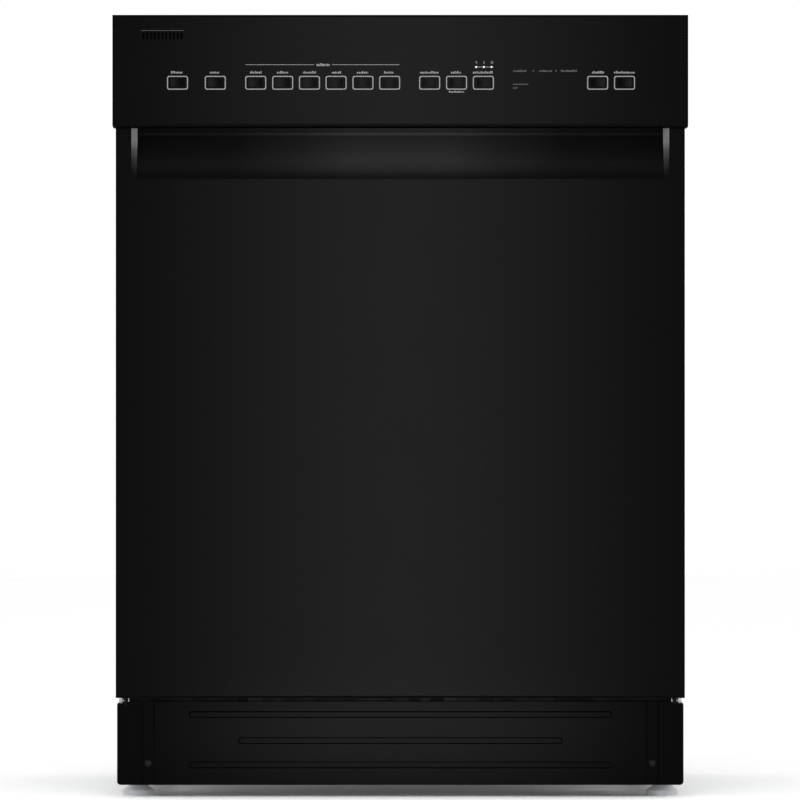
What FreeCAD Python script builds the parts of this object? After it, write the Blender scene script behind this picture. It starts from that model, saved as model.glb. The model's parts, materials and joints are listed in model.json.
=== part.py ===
# Built-in dishwasher, 24 inch class, front control console, pocket grip under the console.
# Frame: X to the right seen from the front, +Y to the rear, +Z up. The front faces -Y.
# Origin: centre of the footprint at floor level. Units: millimetres.
import FreeCAD, Part
import math
import os
from FreeCAD import Vector as V

os.makedirs("parts", exist_ok=True)

# ---------------------------------------------------------------- driving dimensions
HALF_W = 303.2          # half width over the console
DOOR_HW = 300.0         # half width of the steel door panel
Y_FRONT = -311.0        # console face
Y_BACK = 311.6          # rear end of the base rails
Z_TOP = 826.0           # console top
Y_PANEL = -301.0        # door panel face
Y_LINER = -255.0        # tub side face of the door liner
Z_DOOR = 106.3          # lower edge of the door
Z_CONSOLE = 706.6       # lower edge of the console skirt
Z_SHELF = 726.0         # underside of the console body behind the skirt
PIVOT_Y, PIVOT_Z = -275.0, 112.0   # door hinge axis, along X
TUB_HW = 279.0          # half width inside the tub
TUB_T = 1.0             # tub sheet
TUB_FLOOR = 133.0       # tub floor, inside
TUB_CEIL = 804.0        # tub ceiling, inside
TUB_Y0, TUB_Y1 = -246.0, 288.0
FLANGE_HW = 291.0
TOE_Y = -256.0          # toe panel face
TOE_Z0, TOE_Z1 = 12.7, 101.0
POCKET_HW, POCKET_HW_IN = 283.4, 277.8
POCKET_Z0, POCKET_Z1, POCKET_D = 655.0, 703.0, 28.0
BUTTON_Z = 754.4
BUTTON_X = {
    "power_button": -234.5, "mode_button": -194.7,
    "cycle_button_1": -152.2, "cycle_button_2": -123.8, "cycle_button_3": -95.6,
    "cycle_button_4": -67.6, "cycle_button_5": -39.3, "cycle_button_6": -11.2,
    "dry_button": 30.9, "lock_button": 59.2, "delay_button": 87.4,
    "cancel_button": 207.7, "start_button": 236.0,
}
HEATER_R = 176.0        # heating ring radius
BUTTON_W, BUTTON_H = 18.4, 10.8
HOLE_W, HOLE_H = 19.2, 11.6
SUMP_X, SUMP_Y = 0.0, 20.0
LOWER_RACK = dict(hw=258.0, y0=-229.0, y1=244.0, z=174.0, rim=332.0)
UPPER_RACK = dict(hw=252.0, y0=-229.0, y1=236.0, z=484.0, rim=604.0)


# ---------------------------------------------------------------- helpers
def box(x0, x1, y0, y1, z0, z1):
    return Part.makeBox(x1 - x0, y1 - y0, z1 - z0, V(x0, y0, z0))


def cyl(r, p, d, h):
    return Part.makeCylinder(r, h, V(*p), V(*d))


def rounded(x0, x1, y0, y1, z0, z1, r, axis):
    """A box whose four edges along axis are rounded."""
    b = box(x0, x1, y0, y1, z0, z1)
    k = {"x": 0, "y": 1, "z": 2}[axis]
    edges = []
    for e in b.Edges:
        a, c = e.Vertexes[0].Point, e.Vertexes[1].Point
        d = c.sub(a)
        if abs((d.x, d.y, d.z)[k]) > 1e-6:
            edges.append(e)
    return b.makeFillet(r, edges)


def fuse(shapes):
    s = shapes[0]
    if len(shapes) > 1:
        s = s.fuse(shapes[1:])
    return s.removeSplitter()


def prism(points, axis, a, b):
    """A polygon in the plane across axis, extruded from a to b along it."""
    def at(p, k):
        if axis == "x":
            return V(k, p[0], p[1])
        if axis == "y":
            return V(p[0], k, p[1])
        return V(p[0], p[1], k)
    w = Part.makePolygon([at(p, a) for p in points] + [at(points[0], a)])
    d = {"x": V(b - a, 0, 0), "y": V(0, b - a, 0), "z": V(0, 0, b - a)}[axis]
    return Part.Face(w).extrude(d)


def tube(points, r, radii):
    """A round bar along straight runs joined by tangent arcs; radii holds one bend radius per inner point."""
    pts = [V(*p) for p in points]
    edges, start = [], pts[0]
    for i in range(1, len(pts) - 1):
        a, b, c = pts[i - 1], pts[i], pts[i + 1]
        u, w = a.sub(b).normalize(), c.sub(b).normalize()
        half = u.getAngle(w) / 2.0
        t = radii[i - 1] / math.tan(half)
        p0, p1 = b.add(V(u).multiply(t)), b.add(V(w).multiply(t))
        bis = u.add(w).normalize()
        centre = b.add(V(bis).multiply(radii[i - 1] / math.sin(half)))
        mid = centre.add(V(bis).multiply(-radii[i - 1]))
        if start.distanceToPoint(p0) > 1e-6:
            edges.append(Part.LineSegment(start, p0).toShape())
        edges.append(Part.Arc(p0, mid, p1).toShape())
        start = p1
    edges.append(Part.LineSegment(start, pts[-1]).toShape())
    path = Part.Wire(edges)
    d = pts[1].sub(pts[0])
    profile = Part.Wire([Part.Circle(pts[0], d, r).toShape()])
    return path.makePipeShell([profile], True, True)


def mirror_x(s):
    return s.mirror(V(0, 0, 0), V(1, 0, 0))


def move(s, x=0, y=0, z=0):
    c = s.copy()
    c.translate(V(x, y, z))
    return c


def solids_of(s):
    return list(s.Solids)


def save(name, shapes):
    if not isinstance(shapes, list):
        shapes = [shapes]
    flat = []
    for s in shapes:
        flat += solids_of(s)
    for s in flat:
        if not s.isValid() or s.Volume <= 0:
            raise ValueError("bad solid in " + name)
    out = flat[0] if len(flat) == 1 else Part.makeCompound(flat)
    out.exportStep("parts/" + name + ".step")
    print(name, len(flat), round(sum(s.Volume for s in flat) / 1000.0, 1), "cm3")


# ================================================================ cabinet
# Tub: pressed stainless box, open at the front, with a turned flange and a sump hole.
T_OUT = TUB_FLOOR - TUB_T      # underside of the tub
HEATER_Y = SUMP_Y + math.sqrt(HEATER_R ** 2 - 24.0 ** 2)
outer = rounded(-TUB_HW - TUB_T, TUB_HW + TUB_T, TUB_Y0, TUB_Y1 + TUB_T, T_OUT, TUB_CEIL + TUB_T, 19.0, "y")
outer = outer.fuse(rounded(-TUB_HW - TUB_T, TUB_HW + TUB_T, TUB_Y0, TUB_Y1 + TUB_T, T_OUT, 200.0, 5.0, "y"))
inner = rounded(-TUB_HW, TUB_HW, TUB_Y0 - 5, TUB_Y1, TUB_FLOOR, TUB_CEIL, 18.0, "y")
inner = inner.fuse(rounded(-TUB_HW, TUB_HW, TUB_Y0 - 5, TUB_Y1, TUB_FLOOR, 200.0, 4.0, "y"))
flange = rounded(-FLANGE_HW, FLANGE_HW, TUB_Y0, TUB_Y0 + 1.2, 120.0, 822.0, 14.0, "y")
lip = rounded(-FLANGE_HW, FLANGE_HW, TUB_Y0, TUB_Y0 + 14.0, 120.0, 822.0, 14.0, "y").cut(
    rounded(-FLANGE_HW + 1.2, FLANGE_HW - 1.2, TUB_Y0 - 1, TUB_Y0 + 20.0, 121.2, 820.8, 12.8, "y"))
tub = outer.fuse([flange, lip]).cut(inner)
tub = tub.cut(cyl(104.0, (SUMP_X, SUMP_Y, 120), (0, 0, 1), 20))
for hx in (-24, 24):
    tub = tub.cut(cyl(5.0, (hx, HEATER_Y, 120), (0, 0, 1), 20))
tub = tub.cut(cyl(6.5, (-205, -172, 120), (0, 0, 1), 20))
tub = tub.cut(cyl(13.5, (0, 262, 120), (0, 0, 1), 20))
tub = tub.cut(box(-18, 18, TUB_Y0 - 1, TUB_Y0 + 3, 814.2, 819.8))
save("tub", tub.removeSplitter())

# Tub gasket: one rubber channel up the left side, over the top and down the right side.
g_out = rounded(-289.0, 289.0, -254.7, -246.0, 60.0, 813.0, 26.0, "y")
g_in = rounded(-280.5, 280.5, -260.0, -240.0, 50.0, 804.5, 19.0, "y")
gasket = g_out.cut(g_in).cut(box(-300, 300, -270, -230, 40, 134.5))
groove = rounded(-286.0, 286.0, -256.0, -252.4, 60.0, 810.0, 23.0, "y").cut(
    rounded(-283.0, 283.0, -257.0, -250.0, 50.0, 807.0, 21.0, "y"))
save("tub_gasket", gasket.cut(groove))

# Base rails: folded steel channels that carry the tub, the hinge pins and the legs.
def side_rail(sign):
    web = box(295.0, 297.0, -236.0, Y_BACK, 24.0, T_OUT)
    foot = box(262.0, 297.0, -236.0, Y_BACK, 22.0, 24.0)
    shelf = box(240.0, 297.0, -230.0, Y_BACK, T_OUT - 2.0, T_OUT)
    gusset = prism([(-236.0, 24.0), (-206.0, 24.0), (-236.0, 90.0)], "x", 289.0, 295.0)
    bracket = box(288.5, 291.5, -262.0, -205.0, 101.5, 119.0).fuse(cyl(15.0, (288.5, PIVOT_Y, PIVOT_Z), (1, 0, 0), 3.0))
    bracket = bracket.fuse(box(288.5, 291.5, PIVOT_Y, -261.0, 101.5, 119.0))
    bracket = bracket.fuse(box(288.5, 295.5, -222.0, -205.0, 101.5, 119.0))
    pin = cyl(4.0, (291.0, PIVOT_Y, PIVOT_Z), (1, 0, 0), 6.6)
    anchor = box(287.0, 297.0, 52.0, 54.0, T_OUT - 1.0, 150.0)
    s = fuse([web, foot, shelf, gusset, bracket, pin, anchor])
    for y in (-200.0, 262.0):      # clear holes for the levelling legs
        s = s.cut(cyl(5.4, (279.0, y, 20.0), (0, 0, 1), 6.0))
    for y in (-120.0, 0.0, 120.0):  # lightening windows
        s = s.cut(rounded(290, 300, y - 40, y + 40, 50, 100, 10, "x"))
    return s if sign > 0 else mirror_x(s)

save("side_rail_right", side_rail(1))
save("side_rail_left", side_rail(-1))

# Cross members: front and rear folded bars between the rails. The front one carries the toe panel.
def cross(y0, y1, z0, z1):
    return box(-288.0, 288.0, y0, y1, z0, z1).cut(box(-289, 289, y0 + 2, y1 + 1, z0 + 2, z1 - 2))

front_bar = cross(-236.0, -206.0, 24.0, 60.0)
front_bar = front_bar.fuse([box(-281.0, -253.0, -238.0, -236.0, 26.0, 60.0), box(253.0, 281.0, -238.0, -236.0, 26.0, 60.0),
                            box(-288.0, 288.0, -236.0, -234.5, 59.0, 108.0)])    # upstand that closes the slot under the door
for hx in (-267.0, 267.0):
    front_bar = front_bar.cut(cyl(2.3, (hx, -240.0, 35.5), (0, 1, 0), 8.0))
rear_bar = cross(270.0, 300.0, 24.0, 34.0)      # low, so the hoses and the cable pass over it
save("cross_members", [front_bar.removeSplitter(), rear_bar])

# Levelling legs: threaded stem, hex collar and round foot, each turned with a spanner.
def leg(x, y):
    foot = cyl(17.0, (x, y, 0.0), (0, 0, 1), 5.0).fuse(Part.makeCone(17.0, 9.0, 6.0, V(x, y, 5.0)))
    pts = [(x + 11.0 * math.cos(math.radians(60 * k)), y + 11.0 * math.sin(math.radians(60 * k))) for k in range(6)]
    collar = prism(pts, "z", 11.0, 21.6)
    stem = cyl(5.0, (x, y, 11.0), (0, 0, 1), 50.0)
    s = foot.fuse([collar, stem])
    for k in range(14):            # thread ridges
        s = s.cut(Part.makeTorus(5.35, 0.7, V(x, y, 26.5 + 2.4 * k)))
    return s

save("leg_front_left", leg(-279.0, -200.0))
save("leg_front_right", leg(279.0, -200.0))
save("leg_rear_left", leg(-279.0, 262.0))
save("leg_rear_right", leg(279.0, 262.0))

# Toe panel: pressed sheet with three long raised beads, two shallow channels with screw holes.
def bead(z, half, h=7.0, proud=2.2):
    s = rounded(-half, half, TOE_Y - proud, TOE_Y + 0.4, z - h / 2, z + h / 2, h / 2 - 0.05, "y")
    edges = [e for e in s.Edges if all(abs(v.Point.y - (TOE_Y - proud)) < 1e-4 for v in e.Vertexes)]
    try:
        return s.makeFillet(1.3, edges)
    except Exception:
        return s

toe = rounded(-DOOR_HW, DOOR_HW, TOE_Y, TOE_Y + 22.0, TOE_Z0, TOE_Z1, 4.0, "y")
toe = toe.cut(rounded(-DOOR_HW + 1.5, DOOR_HW - 1.5, TOE_Y + 1.5, TOE_Y + 30.0, TOE_Z0 + 1.5, TOE_Z1 - 1.5, 2.5, "y"))
toe = toe.cut(box(-DOOR_HW - 1, DOOR_HW + 1, TOE_Y + 8.0, TOE_Y + 30, TOE_Z0 - 1, TOE_Z1 + 1).cut(
    box(-DOOR_HW + 30, DOOR_HW - 30, TOE_Y + 7.0, TOE_Y + 31, TOE_Z0 - 2, TOE_Z0 + 5)))
for sx in (-1, 1):                # screw seats: recessed channels backed by a boss to the front bar
    x = 267.0 * sx
    boss = box(x - 9.0, x + 9.0, TOE_Y + 1.0, TOE_Y + 4.2, TOE_Z0 + 0.5, TOE_Z1 - 0.5)
    toe = toe.fuse(boss)
    toe = toe.cut(prism([(x - 7.5, TOE_Y - 0.1), (x - 5.0, TOE_Y + 1.8), (x + 5.0, TOE_Y + 1.8), (x + 7.5, TOE_Y - 0.1)], "z", TOE_Z0 + 3.0, TOE_Z1 + 1))
    toe = toe.fuse(cyl(6.0, (x, TOE_Y + 2.0, 35.5), (0, 1, 0), 16.0))
    toe = toe.cut(cyl(2.4, (x, TOE_Y - 5, 35.5), (0, 1, 0), 30))
toe = toe.fuse([bead(87.3, 224.0), bead(59.6, 172.0), bead(33.9, 224.0)])
save("toe_panel", toe.removeSplitter())

def screw(x, y, z, length, r=2.2, head=4.6):
    s = Part.makeSphere(head * 1.25, V(x, y + head * 0.95, z)).common(cyl(head, (x, y - 3.0, z), (0, 1, 0), 3.0))
    s = s.fuse(cyl(r, (x, y - 0.1, z), (0, 1, 0), length))
    cross_cut = box(x - 2.4, x + 2.4, y - 3.0, y - 0.55, z - 0.5, z + 0.5).fuse(box(x - 0.5, x + 0.5, y - 3.0, y - 0.55, z - 2.4, z + 2.4))
    return s.cut(cross_cut)

save("toe_panel_screws", [screw(-267.0, TOE_Y + 1.8, 35.5, 20.0), screw(267.0, TOE_Y + 1.8, 35.5, 20.0)])

# Sump: moulded bowl hung through the tub floor, a perforated filter plate and the hollow centre column.
FILTER_X, FILTER_Y = 50.0, 40.4
bowl = cyl(103.4, (SUMP_X, SUMP_Y, 104.0), (0, 0, 1), 31.4).fuse([
    cyl(111.0, (SUMP_X, SUMP_Y, TUB_FLOOR), (0, 0, 1), 2.4),
    Part.makeCone(66.0, 103.4, 36.0, V(SUMP_X, SUMP_Y, 68.0)),
    cyl(12.0, (0, -50.0, 76.0), (0, -1, 0), 30.0),
    cyl(12.0, (24.0, -60.0, 112.0), (0, -1, 0), 27.0),
    cyl(10.0, (50.0, -10.0, 76.0), (1, 0, 0), 38.0),
    cyl(11.0, (0, 100.0, 112.0), (0, 1, 0), 30.0)])
cavity = cyl(100.4, (SUMP_X, SUMP_Y, 105.0), (0, 0, 1), 40.0).fuse(Part.makeCone(63.0, 100.4, 34.0, V(SUMP_X, SUMP_Y, 71.0)))
bowl = bowl.cut(cavity).cut(cyl(9.0, (0, -40.0, 76.0), (0, -1, 0), 50.0)).cut(cyl(9.0, (24.0, -60.0, 112.0), (0, -1, 0), 40.0))
bowl = bowl.cut(cyl(7.5, (50.0, -10.0, 76.0), (1, 0, 0), 50.0)).cut(cyl(8.0, (0, 90.0, 112.0), (0, 1, 0), 50.0))
ledge = cyl(100.9, (SUMP_X, SUMP_Y, 122.0), (0, 0, 1), 4.0).cut(cyl(96.5, (SUMP_X, SUMP_Y, 120.0), (0, 0, 1), 8.0))
bowl = bowl.fuse(ledge).removeSplitter()
plate = cyl(99.6, (SUMP_X, SUMP_Y, 126.0), (0, 0, 1), 1.6)
plate = plate.cut(cyl(33.5, (FILTER_X, FILTER_Y, 120), (0, 0, 1), 20)).cut(cyl(17.0, (SUMP_X, SUMP_Y, 120), (0, 0, 1), 20))
column = fuse([cyl(16.5, (SUMP_X, SUMP_Y, 71.0), (0, 0, 1), 74.2), cyl(12.0, (SUMP_X, SUMP_Y, 145.0), (0, 0, 1), 4.7),
               cyl(7.0, (SUMP_X, SUMP_Y, 149.0), (0, 0, 1), 9.4)]).cut(cyl(13.5, (SUMP_X, SUMP_Y, 60.0), (0, 0, 1), 80.0))
save("sump", [bowl, plate, column])

# Twist-out filter: fine mesh cup with a collar and a grip on top.
fx, fy = FILTER_X, FILTER_Y
filt = cyl(31.0, (fx, fy, 93.0), (0, 0, 1), 35.0).fuse([cyl(36.0, (fx, fy, 127.9), (0, 0, 1), 2.6)])
filt = filt.cut(cyl(29.2, (fx, fy, 94.8), (0, 0, 1), 60.0))
filt = filt.fuse([box(fx - 30.0, fx + 30.0, fy - 3.0, fy + 3.0, 127.9, 138.0), cyl(8.0, (fx, fy, 127.9), (0, 0, 1), 13.0)])
for k in range(8):
    a = math.radians(45 * k + 22.5)
    filt = filt.cut(cyl(4.2, (fx, fy, 104.0 + 10.0 * (k % 2)), (math.cos(a), math.sin(a), 0), 40.0))
save("filter_cylinder", filt.removeSplitter())

# Wash pump: horizontal motor and volute in front of the sump, its bracket on the front cross member.
pump = [cyl(34.0, (0, -108.0, 64.0), (0, 1, 0), 28.0), cyl(28.0, (0, -172.0, 64.0), (0, 1, 0), 66.0),
        cyl(21.0, (0, -182.0, 64.0), (0, 1, 0), 12.0), box(-22, 22, -226.0, -165.0, 60.0, 63.0),
        tube([(24.0, -97.0, 80.0), (24.0, -97.0, 112.0), (24.0, -87.0, 112.0)], 9.0, [9.5])]
pump += [cyl(30.0, (0, -164.0 + 11 * k, 64.0), (0, 1, 0), 3.0) for k in range(5)]
save("wash_pump", fuse(pump))

# Drain pump: chamber and motor beside the sump, with a plain spigot for the drain hose, which leaves to the rear.
save("drain_pump", fuse([cyl(26.0, (88.0, -10.0, 62.0), (1, 0, 0), 30.0), cyl(22.0, (117.0, -10.0, 62.0), (1, 0, 0), 49.0),
                         cyl(9.5, (103.0, 5.0, 50.0), (0, 1, 0), 51.0), cyl(12.0, (103.0, 5.0, 50.0), (0, 1, 0), 13.0)]))

# Heating element: open ring above the tub floor with two sealed legs through it.
ring_z, rod = 144.0, 3.4
half_gap = math.degrees(math.asin(24.0 / HEATER_R))
ring = Part.makeTorus(HEATER_R, rod, V(0, 0, 0), V(0, 0, 1), 0, 360, 360.0 - 2 * half_gap)
ring.rotate(V(0, 0, 0), V(0, 0, 1), 90.0 + half_gap)
ring.translate(V(SUMP_X, SUMP_Y, ring_z))
legs = []
for hx in (24.0, -24.0):
    legs += [Part.makeSphere(rod + 0.9, V(hx, HEATER_Y, ring_z)), cyl(rod, (hx, HEATER_Y, 112.0), (0, 0, 1), ring_z - 112.0),
             cyl(9.0, (hx, HEATER_Y, 124.0), (0, 0, 1), T_OUT - 124.0), cyl(8.0, (hx, HEATER_Y, TUB_FLOOR), (0, 0, 1), 2.4)]
save("heating_element", fuse([ring] + legs))

# Spray arms: two-bladed shallow pods on a hub.
def spray_arm(cx, cy, z, r, hub_r, t, hub0, hub1):
    pts, n = [], 40
    for k in range(n):
        a = 2 * math.pi * k / n
        x = r * math.cos(a)
        w = 13.0 + 10.0 * math.exp(-((abs(x) - r * 0.72) / (r * 0.25)) ** 2)
        y = (w if math.sin(a) >= 0 else -w) * abs(math.sin(a)) ** 0.5 + 14.0 * math.sin(math.pi * x / r / 1.6)
        pts.append(V(cx + x, cy + y, z))
    sp = Part.BSplineCurve()
    sp.interpolate(pts, PeriodicFlag=True)
    body = Part.Face(Part.Wire([sp.toShape()])).extrude(V(0, 0, t))
    body = body.fuse(cyl(hub_r, (cx, cy, hub0), (0, 0, 1), hub1 - hub0))
    for f in (-0.88, -0.66, -0.42, 0.42, 0.66, 0.88):
        x = f * r
        body = body.cut(cyl(2.2, (cx + x, cy + 14.0 * math.sin(math.pi * x / r / 1.6), z + t - 2.0), (0, 0, 1), 10))
    return body

arm = spray_arm(SUMP_X, SUMP_Y, 151.0, 222.0, 22.0, 9.0, 150.0, 163.0)
save("lower_spray_arm", arm.cut(cyl(7.35, (SUMP_X, SUMP_Y, 140.0), (0, 0, 1), 19.0)).removeSplitter())
arm = spray_arm(0.0, 0.0, 451.0, 196.0, 18.0, 8.0, 450.0, 460.0)
save("upper_spray_arm", arm.cut(cyl(7.35, (0, 0, 440.0), (0, 0, 1), 30.0)).removeSplitter())

# Feed tube: from the sump under the floor, up the rear wall and forward to the docking collar.
feed = fuse([tube([(0, 130.0, 112.0), (0, 262, 112.0), (0, 262, 473.0), (0, 246.0, 473.0)], 9.0, [14.0, 12.0]),
             cyl(13.0, (0, 243.5, 473.0), (0, 1, 0), 6.0), cyl(18.0, (0, 262, TUB_FLOOR), (0, 0, 1), 4.0),
             cyl(16.0, (0, 262, 125.0), (0, 0, 1), T_OUT - 125.0),
             box(-13, 13, 262.0, TUB_Y1, 250.0, 258.0), box(-13, 13, 262.0, TUB_Y1, 420.0, 428.0)])
save("spray_feed_tube", feed.cut(cyl(6.5, (0, 240.0, 473.0), (0, 1, 0), 14.0)))

# Overfill float: dome on a stem through the tub floor, with a clip below.
dome = Part.makeSphere(25.0, V(-205, -172, 136.0)).common(cyl(30.0, (-205, -172, 133.4), (0, 0, 1), 40.0))
dome = dome.cut(Part.makeSphere(22.5, V(-205, -172, 136.0)).common(cyl(30.0, (-205, -172, 130.0), (0, 0, 1), 24.0)))
save("float", fuse([dome, cyl(5.0, (-205, -172, 112.0), (0, 0, 1), 46.0), cyl(8.0, (-205, -172, 116.0), (0, 0, 1), 2.0)]))

# Water inlet valve on the front cross member: body, solenoid and threaded inlet to the rear.
iv = fuse([box(-236, -196, -184, -148, 30.0, 62.0), cyl(15.0, (-216, -166, 61.0), (0, 0, 1), 28.0),
           box(-236, -196, -226, -180, 60.0, 62.0), cyl(13.0, (-216, -150.0, 46.0), (0, 1, 0), 28.0)])
save("inlet_valve", iv.cut(cyl(9.5, (-216, -146, 46.0), (0, 1, 0), 30.0)))

# Junction box for the house wiring, on the front cross member.
jb = rounded(170, 254, -196, -130, 27.0, 92.0, 4.0, "z").cut(rounded(172, 252, -194, -132, 29.0, 90.0, 3.0, "z"))
jb = jb.cut(cyl(11.1, (212, -140.0, 55.0), (0, 1, 0), 20.0)).fuse(box(192, 232, -226.0, -195.5, 60.0, 62.0))
save("junction_box", jb.removeSplitter())

# Door strike on the tub roof and the two tabs that screw to the worktop.
save("door_strike", fuse([box(-17, 17, TUB_Y0 + 1.2, -226.0, 805.0, 807.0), box(-17, 17, TUB_Y0 + 1.2, TUB_Y0 + 3.2, 805.0, 820.0),
                          box(-12, -8, -268.0, TUB_Y0 + 2.0, 815.5, 818.5), box(8, 12, -268.0, TUB_Y0 + 2.0, 815.5, 818.5),
                          box(-12, 12, -271.0, -267.0, 815.5, 818.5)]))
tabs = []
for sx in (-190.0, 190.0):
    t = fuse([box(sx - 15, sx + 15, -201.8, -170.0, 805.0, 806.8), box(sx - 15, sx + 15, -201.8, -200.0, 805.0, 823.0),
              box(sx - 15, sx + 15, -231.0, -200.0, 821.0, 823.0)])
    tabs.append(t.cut(cyl(2.75, (sx, -217.0, 810.0), (0, 0, 1), 20.0)))
save("mounting_tabs", tabs)

# Door balance: a tension spring each side, hooked to a sliding link that the hinge arm pulls.
LINK_Z, PIN_S, PIN_H = 142.0, 28.0, 30.0
def link():
    y, z = PIVOT_Y + PIN_S, PIVOT_Z + PIN_H
    head = rounded(291.8, 293.2, y - 9.5, y + 9.5, z - 9.5, z + 18.5, 3.0, "x")
    head = head.fuse([box(291.8, 293.2, y + 8.0, -118.0, LINK_Z - 5.0, LINK_Z + 5.0), box(288.4, 293.2, -119.5, -117.0, LINK_Z - 5.0, LINK_Z + 5.0)])
    return head.cut(rounded(280, 300, y - 5.1, y + 5.1, z - 5.7, z + 14.7, 4.0, "x")).removeSplitter()

save("balance_links", [link(), mirror_x(link())])

def spring():
    body = cyl(5.4, (290.4, -104.0, LINK_Z), (0, 1, 0), 136.0).cut(cyl(3.4, (290.4, -105.0, LINK_Z), (0, 1, 0), 138.0))
    ends = [cyl(5.0, (290.4, -104.0, LINK_Z), (0, 1, 0), 2.0), cyl(5.0, (290.4, 30.0, LINK_Z), (0, 1, 0), 2.0),
            cyl(1.2, (290.4, -116.9, LINK_Z), (0, 1, 0), 14.0), cyl(1.2, (290.4, 31.0, LINK_Z), (0, 1, 0), 21.0)]
    return fuse([body] + ends)

save("door_springs", [spring(), mirror_x(spring())])

# Track guides on the tub walls: two C blocks each side.
guides = []
for y0 in (-225.0, -60.0):
    g = box(264.0, TUB_HW, y0, y0 + 40.0, 534.0, 570.0).cut(box(263.0, 272.4, y0 - 1, y0 + 41.0, 539.6, 564.4))
    guides += [g, mirror_x(g)]
save("track_guides", guides)

# ================================================================ racks
def rod(p, q, r):
    a, d = V(*p), V(*q).sub(V(*p))
    return Part.makeCylinder(r, d.Length, a, d)

# Lower rack: welded wire floor, sloped front corner, side walls, rim and two rows of tines.
L = LOWER_RACK
W = 2.0                          # wire radius
long_x = [-224.0 + 56.0 * k for k in range(9)]
cross_y = [-185.0, -110.0, -40.0, 30.0, 105.0, 180.0, 238.0]
post_y = [-185.0, -110.0, 30.0, 180.0, 238.0]
AXLE_Y, AXLE_Z = (-110.0, 180.0), 151.3
lower = [rod((x, -199.0, L["z"]), (x, 244.0, L["z"]), W) for x in long_x]
lower += [rod((-258.0, y, L["z"] + 2 * W), (258.0, y, L["z"] + 2 * W), W) for y in cross_y]
for s in (-1, 1):
    lower += [rod((s * 260.0, y, L["z"] - W), (s * 260.0, y, L["rim"]), W) for y in post_y]
    lower.append(rod((s * 256.0, -190.0, 255.0), (s * 256.0, 242.0, 255.0), W))
    lower.append(rod((s * 260.0, -233.5, L["rim"] + 2.5), (s * 260.0, 248.5, L["rim"] + 2.5), 2.5))
for x in long_x[::2]:
    lower.append(rod((x + 4.0, -196.0, L["z"]), (x + 4.0, -231.0, 210.0), W))
    lower.append(rod((x, -231.0, 207.0), (x, -231.0, L["rim"]), W))
    lower.append(rod((x, 246.0, L["z"] - W), (x, 246.0, L["rim"]), W))
lower += [rod((-257.5, -231.0, L["rim"] + 2.5), (257.5, -231.0, L["rim"] + 2.5), 2.5),
          rod((-257.5, 246.0, L["rim"] + 2.5), (257.5, 246.0, L["rim"] + 2.5), 2.5),
          rod((-228.0, -227.0, 270.0), (228.0, -227.0, 270.0), W), rod((-228.0, 242.0, 270.0), (228.0, 242.0, 270.0), W)]
for y in (30.0, 180.0):
    lower += [rod((-196.0 + 56.0 * k, y, L["z"] + 3 * W), (-196.0 + 56.0 * k, y, 250.0), W) for k in range(8)]
for s in (-1, 1):
    for y in AXLE_Y:
        plate = box(258.0, 262.0, y - 8.0, y + 8.0, 145.0, L["z"] - W)
        stub = fuse([cyl(4.0, (262.0, y, AXLE_Z), (1, 0, 0), 14.0), cyl(6.0, (274.9, y, AXLE_Z), (1, 0, 0), 1.5)])
        lower += [plate, stub] if s > 0 else [mirror_x(plate), mirror_x(stub)]
save("lower_rack", lower)

def wheel_pair(y):
    w = cyl(18.0, (264.5, y, AXLE_Z), (1, 0, 0), 10.0).cut(cyl(4.08, (263, y, AXLE_Z), (1, 0, 0), 14.0))
    groove = cyl(15.0, (263.0, y, AXLE_Z), (1, 0, 0), 4.0).cut(cyl(7.0, (262.0, y, AXLE_Z), (1, 0, 0), 6.0))
    w = w.cut(groove).cut(move(groove, x=9.0))
    for k in range(5):
        a = math.radians(72 * k)
        w = w.cut(cyl(2.6, (262.0, y + 11.0 * math.cos(a), AXLE_Z + 11.0 * math.sin(a)), (1, 0, 0), 16.0))
    return [w, mirror_x(w)]

save("lower_rack_wheels_front", wheel_pair(AXLE_Y[0]))
save("lower_rack_wheels_rear", wheel_pair(AXLE_Y[1]))

# Silverware basket: moulded box with three dividers, slotted walls and a carrying handle.
cx, bx, by0, by1, bz0, bz1 = 112.0, 100.0, -188.0, -108.0, 180.3, 286.0
ym = (by0 + by1) / 2
basket = box(cx - bx, cx + bx, by0, by1, bz0, bz1).cut(box(cx - bx + 2, cx + bx - 2, by0 + 2, by1 - 2, bz0 + 2, bz1 + 1))
for x in (-50.0, 0.0, 50.0):
    basket = basket.fuse(box(cx + x - 0.9, cx + x + 0.9, by0 + 1, by1 - 1, bz0 + 1, bz1 - 8.0))
for x in (-75.0, -25.0, 25.0, 75.0):
    for z in (205.0, 232.0, 259.0):
        basket = basket.cut(box(cx + x - 17.0, cx + x + 17.0, by0 - 1, by1 + 1, z - 8.0, z + 8.0))
handle = rounded(cx - 50.9, cx + 50.9, ym - 4.0, ym + 4.0, bz1 - 40.0, 332.0, 12.0, "y").cut(
    rounded(cx - 42.0, cx + 42.0, ym - 10, ym + 10, bz1 - 60.0, 323.0, 8.0, "y"))
save("silverware_basket", basket.fuse(handle).removeSplitter())

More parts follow.
